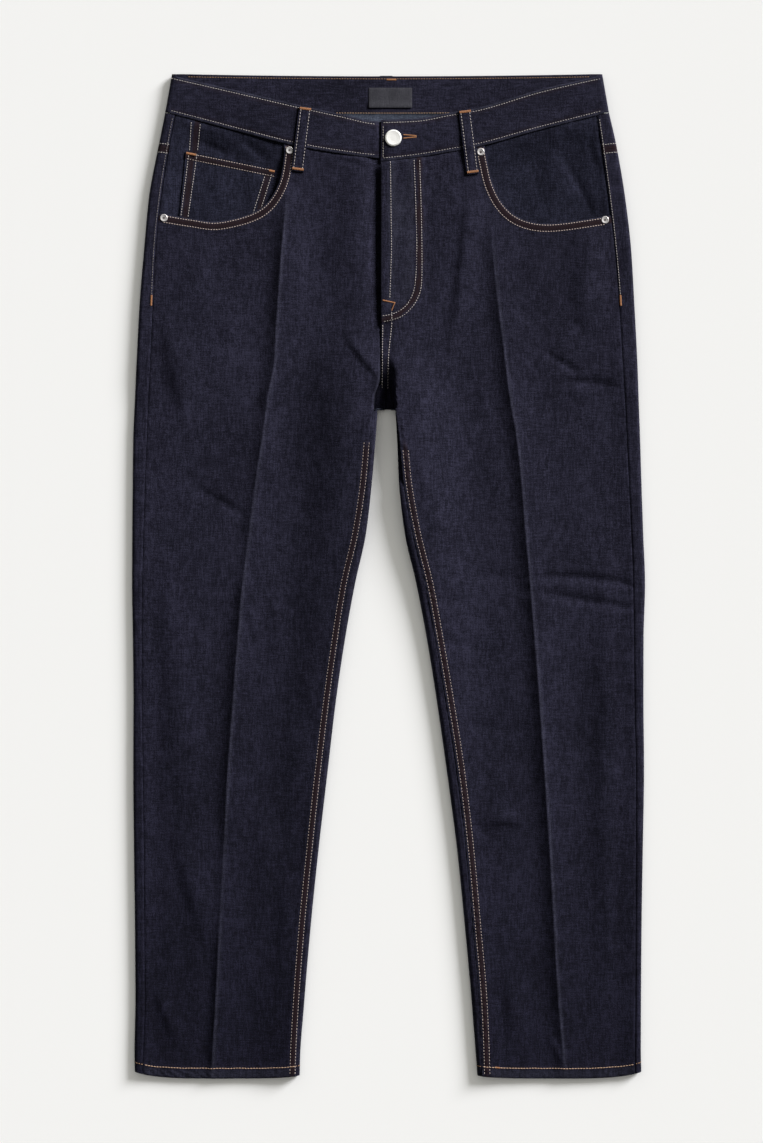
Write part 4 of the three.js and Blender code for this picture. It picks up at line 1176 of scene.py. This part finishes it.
for leg in legs:
    foot, top = frontLoops[leg["name"]]
    lean = math.atan2(top[0] - foot[0], top[1] - foot[1])
    across = np.linspace(-1, 1, 15)
    offsets = across * loopCut["width"] / 2
    fromEdge = loopCut["width"] / 2 * (1 - np.abs(across))
    crown = loopCut["crown"] * (1 - np.abs(across) ** 3)
    crown = crown + stitched(fromEdge, (loopCut["row"],), loopCut["dent"])
    rows = []
    for share in np.linspace(0, 1, 46):
        x, y, z = loopTop(leg, share)
        rows.append(np.column_stack((x + offsets * math.cos(lean), y - offsets * math.sin(lean), z + crown)))
    strap = gridCloth(f"beltLoopFront_{leg['name']}", np.array(rows), loopCut["wall"], denim)
    ride(strap, "denim", f"belt_loop_front_{leg['name']}")
for name, x in backLoops["places"].items():
    across, along = np.meshgrid(np.linspace(-1, 1, 13), np.linspace(-1, 1, 40))
    z = backLoops["lift"] + backLoops["curl"] * (np.abs(across) ** 3 + np.abs(along) ** 4)
    ys = mix(backLoops["foot"], backLoops["top"], (along + 1) / 2)
    grid = np.dstack((x + across * loopCut["width"] / 2, ys, z))
    strap = gridCloth(f"beltLoopBack_{name}", grid, backLoops["wall"], denim, flip=True)
    ride(strap, "denim", f"belt_loop_back_{name}")
print("belt loops ready")

# Topstitching: one stitch is modelled, then laid along every row
stitchCut = {"pitch": 2.7, "length": 2.0, "width": 0.72, "height": 0.5, "sides": 6, "rings": 4}
bpy.ops.mesh.primitive_uv_sphere_add(
    segments=stitchCut["sides"], ring_count=stitchCut["rings"], radius=1, location=(0, 0, 0)
)
oneStitch = bpy.context.object
bpy.ops.object.mode_set(mode="EDIT")
bpy.ops.mesh.select_all(action="SELECT")
bpy.ops.transform.rotate(value=math.pi / 2, orient_axis="Y", center_override=(0, 0, 0))
bpy.ops.object.mode_set(mode="OBJECT")
stitchPoints = np.array([tuple(v.co) for v in oneStitch.data.vertices])
stitchPoints[:, 0] = np.sign(stitchPoints[:, 0]) * np.abs(stitchPoints[:, 0]) ** 0.7
stitchFaces = [tuple(face.vertices) for face in oneStitch.data.polygons]
bpy.data.objects.remove(oneStitch)
sewn = {}
uneven = np.random.default_rng(7)


def addStitches(piece, thread, centres, ends, normals, width):
    # centres, half-length vectors and upward normals of the stitches
    sewn.setdefault((piece, thread), []).append((centres, ends, normals, np.full(len(centres), width)))


def sewOn(piece, thread, path, heightAt, pitch=None, length=None, width=None, up=1):
    pitch = pitch or stitchCut["pitch"]
    length = length or stitchCut["length"]
    row = evenly(path, pitch / 2)
    middles = row[1:-1:2]
    forward = row[2::2][: len(middles)] - row[:-2:2][: len(middles)]
    forward /= np.linalg.norm(forward, axis=1)[:, None]
    turn = uneven.normal(0, 0.05, len(middles))
    turnedX = forward[:, 0] * np.cos(turn) - forward[:, 1] * np.sin(turn)
    turnedY = forward[:, 0] * np.sin(turn) + forward[:, 1] * np.cos(turn)
    forward = np.column_stack((turnedX, turnedY))
    reach = (length / 2 * uneven.uniform(0.9, 1.08, len(middles)))[:, None]
    sideways = np.column_stack((-forward[:, 1], forward[:, 0]))

    def heightOf(spots):
        return heightAt(spots[:, 0], spots[:, 1])

    probe = 0.8  # how far to each side the cloth's tilt is felt
    climb = (heightOf(middles + forward * reach) - heightOf(middles - forward * reach)) / 2
    tilt = (heightOf(middles + sideways * probe) - heightOf(middles - sideways * probe)) / (2 * probe)
    ends = np.column_stack((forward * reach, climb))
    normals = np.column_stack((-sideways * tilt[:, None], np.ones(len(tilt)))) * up
    centres = np.column_stack((middles, heightOf(middles) + 0.12 * up))
    addStitches(piece, thread, centres, ends, normals, width or stitchCut["width"])


def sewRound(piece, thread, path, normals):  # along a line of points in space
    lengths = np.concatenate(([0], np.cumsum(np.linalg.norm(np.diff(path, axis=0), axis=1))))
    pitch, reach = stitchCut["pitch"], stitchCut["length"] / 2
    at = np.arange(pitch / 2, lengths[-1] - pitch / 2, pitch)

    def where(values, offset=0):
        return np.column_stack([np.interp(at + offset, lengths, values[:, k]) for k in range(3)])

    ends = (where(path, reach) - where(path, -reach)) / 2
    addStitches(piece, thread, where(path) + 0.1 * where(normals), ends, where(normals), stitchCut["width"])


def tackDown(piece, start, end, width, heightAt):  # a bar tack between two points
    row = evenly(np.array([start, end], float), 0.8)
    along = (row[-1] - row[0]) / np.linalg.norm(row[-1] - row[0])
    across = np.array([-along[1], along[0]])
    z = heightAt(row[:, 0], row[:, 1]) + 0.2
    centres = np.column_stack((row, np.full(len(row), z.max())))
    ends = np.tile((*across * width / 2, 0), (len(row), 1))
    addStitches(piece, "tack", centres, ends, np.tile((0, 0, 1.0), (len(row), 1)), 1.0)


def ringNormals(leg, path):  # outward normals of a line of points round the back section
    step = np.gradient(path, axis=0)
    normals = np.column_stack((step[:, 2], np.zeros(len(path)), -step[:, 0])) * -leg["side"]
    return normals / np.maximum(np.linalg.norm(normals, axis=1), 1e-9)[:, None]


def rowOf(x, y):  # a row of plan points from their two lists of places
    return np.column_stack((x, y))


inseamThread = {"pitch": 3.2, "length": 2.0, "width": 0.64}
hemThread = {"pitch": 2.9, "length": 2.75, "width": 0.8}
for leg in legs:
    side, name = leg["side"], leg["name"]
    onFront, onStrip = partial(frontTop, leg), partial(outerStripTop, leg)
    frontPiece, backPiece = f"stitchesFront_{name}", f"stitchesBack_{name}"
    y = np.arange(-508, leg["inseamTop"], 2.0)
    for inward in leg["inseamRows"]:
        sewOn(frontPiece, "sand", rowOf(leg["inseam"](y) + side * inward, y), onFront, **inseamThread)
    y = np.arange(284, leg["bandLower"](leg["outseam"](465)) - 2, 2.0)
    row = rowOf(leg["outseam"](y) + side * 1.8, y)
    sewOn(backPiece, "beige", row, onStrip, width=leg["outseamThread"])
    x = leg["outseam"](281.0) + side * 1.5
    tackDown(backPiece, (x, 286), (x + side * 0.4, 276), 2.0, onStrip)
    hemX = np.linspace(leg["outseam"](-502) - side * 1.5, leg["inseam"](-502) + side * 1.2, 80)
    hemY = tube["hemLine"] + hem["row"]
    wander = 0.35 * ripple(hemX, hemX, 13, 13, 17)
    hemRow = rowOf(hemX, hemY + hemEdge(leg, hemX, hemY) + wander)
    sewOn(frontPiece, "hem", hemRow, lambda x, y, leg=leg: frontTop(leg, x, y) + 0.18, **hemThread)
    ring = backGrid(leg, [hemY], [], None, None)[0]
    sewRound(backPiece, "tan", ring, ringNormals(leg, ring))
    for offset in backSeam["yokeRows"]:
        line = partial(yokeEdge, leg, offset)
        ring = backGrid(leg, [], [0.0], line, line)[0]
        sewRound(backPiece, "beige", ring, ringNormals(leg, ring))
    steps = np.gradient(leg["mouth"], axis=0)
    steps /= np.linalg.norm(steps, axis=1)[:, None]
    below = np.column_stack((-steps[:, 1], steps[:, 0])) * -side
    for offset in mouth["rows"]:
        row = leg["mouth"] + below * offset
        clear = side * (leg["outseam"](row[:, 1]) - row[:, 0]) > 1.5
        row = row[clear & (row[:, 1] < leg["bandLower"](row[:, 0]) - 2)]
        sewOn(frontPiece, "sand", row, onFront, width=0.86)

flyRows = [
    [(1.8, 423), (2.6, 360), (2.8, 330), (1.2, 283)],
    [
        (31.5, 424), (33, 380), (33.9, 332.6), (33.4, 297.5), (29.2, 282.2), (21, 270.6), (10.5, 263),
        (-6.6, 258.4),
    ],
    [
        (25.9, 424.4), (27.6, 380), (28.7, 332.6), (26.9, 297.5), (22.2, 282.2), (15.2, 273), (4.5, 267),
        (-6.6, 264.7),
    ],
    [(3.1, 272), (3.1, 256), (1.0, 236), (-0.4, 218), (-0.8, 188)],
    [(-6.0, 256), (-6.2, 236), (-6.4, 214), (-6.6, 190)],
]
leftTacks = [  # ends and width
    ((-5.6, 280.8), (6.4, 278.2), 1.5),
    ((6, 277.4), (3.2, 270.6), 1.0),
    ((109, -500.8), (113, -501.2), 1.8),
]
for points in flyRows:
    sewOn("stitchesFront_left", "beige", throughPoints(points, 10), partial(frontTop, leftLeg), width=0.72)
for start, end, width in leftTacks:
    tackDown("stitchesFront_left", start, end, width, partial(frontTop, leftLeg))

onFacing = partial(facingTop, rightLeg)
coinRows = [  # the sides of the coin pocket, and the rows that show above it
    ((-203.6, 432), (-212, 366), coinTop),
    ((-195.5, 430.4), (-204.7, 366), coinTop),
    ((-119.2, 410), (-133, 366), coinTop),
    ((-126.3, 408), (-139, 368), coinTop),
    ((-201.1, 463), (-203.2, 434), onFacing),
    ((-192, 461), (-195.2, 433), onFacing),
]
coinTacks = [((-206, 431.4), (-196.6, 429.6)), ((-121.5, 413.8), (-116.6, 412.8))]
topEdge = np.array([coinPocket["topLeft"], coinPocket["topRight"]], float)
for offset in coinPocket["rows"]:
    sewOn("stitchesFront_right", "sand", topEdge + (0.4, -offset), coinTop, width=0.84)
for top, foot, surface in coinRows:
    sewOn("stitchesFront_right", "beige", np.array([top, foot], float), surface)
for start, end in coinTacks:
    tackDown("stitchesFront_right", start, end, 2.4, coinTop)

bandStitches = "stitchesWaistband"
buttonhole = {"pitch": 1.0, "length": 2.0, "width": 1.25}
for leg in legs:
    onBand = partial(bandFrontZ, leg)
    xs = np.linspace(*leg["bandRow"], 90)
    sewOn(bandStitches, "beige", rowOf(xs, leg["bandLower"](xs) + band["lowRow"]), onBand)
    sewOn(bandStitches, "beige", rowOf(xs, leg["bandUpper"](xs) - band["highRow"]), onBand)
sewOn(bandStitches, "beige", rowOf(np.full(10, -5.6), np.linspace(426.5, 460, 10)), onBand)
for start, end in (((15.2, 449.8), (28.6, 448.6)), ((15.2, 446.2), (28.6, 447.4))):
    sewOn(bandStitches, "tack", [start, end], onBand, **buttonhole)
underside = tube["lift"] + tube["seatLift"]


def flatAt(height, x, y):
    return np.full(np.shape(x), height)


insideBand = partial(flatAt, underside + band["thickness"])
outsideBand = partial(flatAt, underside)
for offset, thread in ((-2.6, "tan"), (-37.6, "hem")):
    xs = np.linspace(-205, 205, 100)
    row = rowOf(xs, backEdgeY(xs) + offset)
    sewOn(bandStitches, thread, row, insideBand)
    sewOn(bandStitches, thread, row, outsideBand, up=-1)
tackDown(bandStitches, (-1.6, 506.8), (7.5, 506.8), 2.0, insideBand)

loopThread = {"pitch": 3.2, "length": 2.3}
loopSewing = {"aside": 4.5, "inset": 2, "tackHalf": 5.4, "tackWidth": 2.6, "tackFoot": 2.2, "tackTop": 1.6}
for leg in legs:
    foot, top = (np.array(end, float) for end in frontLoops[leg["name"]])
    reach = np.linalg.norm(top - foot)
    along = (top - foot) / reach
    across = np.array([along[1], -along[0]])
    shares = np.linspace(0, 1, 40)
    heights = np.array([loopTop(leg, share)[2] for share in shares])

    def onLoop(x, y, foot=foot, along=along, reach=reach, heights=heights):
        climbed = ((x - foot[0]) * along[0] + (y - foot[1]) * along[1]) / reach
        return np.interp(climbed, shares, heights) + 0.3

    inset, half = along * loopSewing["inset"], across * loopSewing["tackHalf"]
    for offset in (-loopSewing["aside"], loopSewing["aside"]):
        ends = np.array([foot + inset + across * offset, top - inset + across * offset])
        sewOn(bandStitches, "beige", ends, onLoop, **loopThread)
    for end in (foot + along * loopSewing["tackFoot"], top - along * loopSewing["tackTop"]):
        tackDown(bandStitches, end - half, end + half, loopSewing["tackWidth"], onLoop)

underPatch = partial(flatAt, tube["lift"] + backPocket["offFloor"])
for leg in legs:
    backPiece = f"stitchesBack_{leg['name']}"
    centre = tube["centreBack"] + leg["side"] * backPocket["centreX"]
    topY, foot = backPocket["topY"], backPocket["topY"] - backPocket["height"]
    for inset in backPocket["rows"]:
        half = backPocket["width"] / 2 - inset
        footHalf, corner = half - backPocket["taper"], foot + backPocket["point"] + inset * 0.8
        outline = [
            (centre - half, topY - 1), (centre - footHalf, corner), (centre, foot + inset),
            (centre + footHalf, corner), (centre + half, topY - 1),
        ]
        for start, end in zip(outline[:-1], outline[1:]):
            sewOn(backPiece, "tan", np.array([start, end], float), underPatch, up=-1)
    fold = np.array([(centre - half, topY - 12), (centre + half, topY - 12)], float)
    sewOn(backPiece, "tan", fold, underPatch, up=-1)
    seatRow = rowOf(np.full(60, tube["centreBack"] + leg["side"] * 3.0), np.linspace(204, 408, 60))
    sewOn(backPiece, "tan", seatRow, outsideBand, up=-1)

for (piece, thread), batches in sewn.items():
    centres, ends, normals, widths = (np.concatenate(parts) for parts in zip(*batches))
    across = np.cross(normals, ends)
    across *= (widths / 2 / np.maximum(np.linalg.norm(across, axis=1), 1e-9))[:, None]
    upwards = np.cross(ends, across)
    upwards *= (stitchCut["height"] / 2 / np.maximum(np.linalg.norm(upwards, axis=1), 1e-9))[:, None]
    points = centres[:, None, :] + stitchPoints @ np.stack((ends, across, upwards), axis=1)
    count = len(stitchPoints)
    faces = [tuple(i + n * count for i in face) for n in range(len(centres)) for face in stitchFaces]
    threadPiece = meshFrom(f"{piece}_{thread}", points.reshape(-1, 3), faces, threads[thread])
    finishCloth(threadPiece, 0)
    ride(threadPiece, "thread")
print("stitching ready:", sum(len(batch[0]) for batches in sewn.values() for batch in batches), "stitches")


# Metal parts keep their frame shape
def ringMask(tree, centre, inner, outer):  # 1 inside a circle about the vertical, 0 outside
    place = addNode(tree, "ShaderNodeTexCoord").outputs["Object"]
    centred = addNode(tree, "ShaderNodeVectorMath", operation="SUBTRACT")
    setInputs(tree, centred, {0: place, 1: (centre[0] * millimetre, centre[1] * millimetre, 0)})
    split = addNode(tree, "ShaderNodeSeparateXYZ")
    setInputs(tree, split, {0: centred.outputs[0]})
    squares = [mathNode(tree, "MULTIPLY", split.outputs[k], split.outputs[k]) for k in (0, 1)]
    reach = mathNode(tree, "SQRT", mathNode(tree, "ADD", *squares), 0.0)
    ramp = addNode(tree, "ShaderNodeMapRange", interpolation_type="SMOOTHSTEP")
    ends = {"From Min": inner * millimetre, "From Max": outer * millimetre, "To Min": 1, "To Max": 0}
    setInputs(tree, ramp, {"Value": reach, **ends})
    return place, ramp.outputs["Result"]


def metalMaterial(name, centre, bright, dark, inner, outer, metallic, roughness):
    made, tree, shader = newMaterial(name)
    place, mask = ringMask(tree, centre, inner, outer)
    brushed = stretchedNoise(tree, place, (500, 1600, 800), 3)
    worn = mixNode(tree, brushed, tuple(c * 0.86 for c in bright), tuple(min(c * 1.08, 1) for c in bright))
    relief = addNode(tree, "ShaderNodeBump")
    setInputs(tree, relief, {"Distance": 0.05 * millimetre, "Height": brushed})
    colour = mixNode(tree, mask, worn, dark)
    setInputs(tree, shader, {"Base Color": colour, "Normal": relief.outputs["Normal"]})
    setInputs(tree, shader, {"Metallic": metallic, "Roughness": roughness})
    return made


nodes = frame["nodes"]
buttonFinish = {
    "bright": (0.93, 0.92, 0.89), "dark": (0.88, 0.87, 0.84), "inner": 3.0, "outer": 3.8, "metallic": 0.0,
    "roughness": 0.35,
}
rivetFinish = {
    "bright": (0.90, 0.86, 0.82), "dark": (0.24, 0.21, 0.20), "inner": 0.9, "outer": 1.7, "metallic": 0.2,
    "roughness": 0.34,
}
metalParts = {
    "button": ((4.9, 446.4), buttonFinish),
    "rivet_right_inner": ((-100.9, 434), rivetFinish),
    "rivet_right_outer": ((-229, 365), rivetFinish),
    "rivet_left_inner": ((93.9, 432.4), rivetFinish),
    "rivet_left_outer": ((220.6, 363), rivetFinish),
}
for name, (centre, finish) in metalParts.items():
    node = nodes[name]
    node.data.materials.clear()
    node.data.materials.append(metalMaterial(f"{name}Metal", centre, **finish))
lifted.objects.link(nodes["button"])

# Label: a bare folded tape sewn inside the back of the waistband
label = {"width": 44, "height": 20.4, "x": 2, "y": 488.2, "wall": 0.7, "base": 4.15, "fold": 0.7, "edge": 0.3}
labelTones = {
    "deep": (0.052, 0.051, 0.060),
    "bright": (0.105, 0.103, 0.116),
    "seamDark": (0.02, 0.02, 0.025),
    "worn": (0.12, 0.12, 0.13),
}
labelCloth = clothMaterial("charcoalTape", **labelTones, slub=0.5, mottle=0.35, turn=90, roughness=0.8)
across, up = np.meshgrid(np.linspace(-1, 1, 45), np.linspace(-1, 1, 23))
z = label["base"] + label["wall"] + 0.25 * ripple(across * 22, up * 10, 9, 12, 95)
edges = np.maximum(np.abs(across) ** 20, np.abs(up) ** 12)
z = z + label["fold"] * smooth(-up, 0.2, 1) - label["edge"] * edges
x, y = label["x"] + across * label["width"] / 2, label["y"] + up * label["height"] / 2
tape = gridCloth("blankLabel", np.dstack((x, y, z)), label["wall"], labelCloth)
ride(tape, "label_cloth", "label")
print("hardware and label ready")
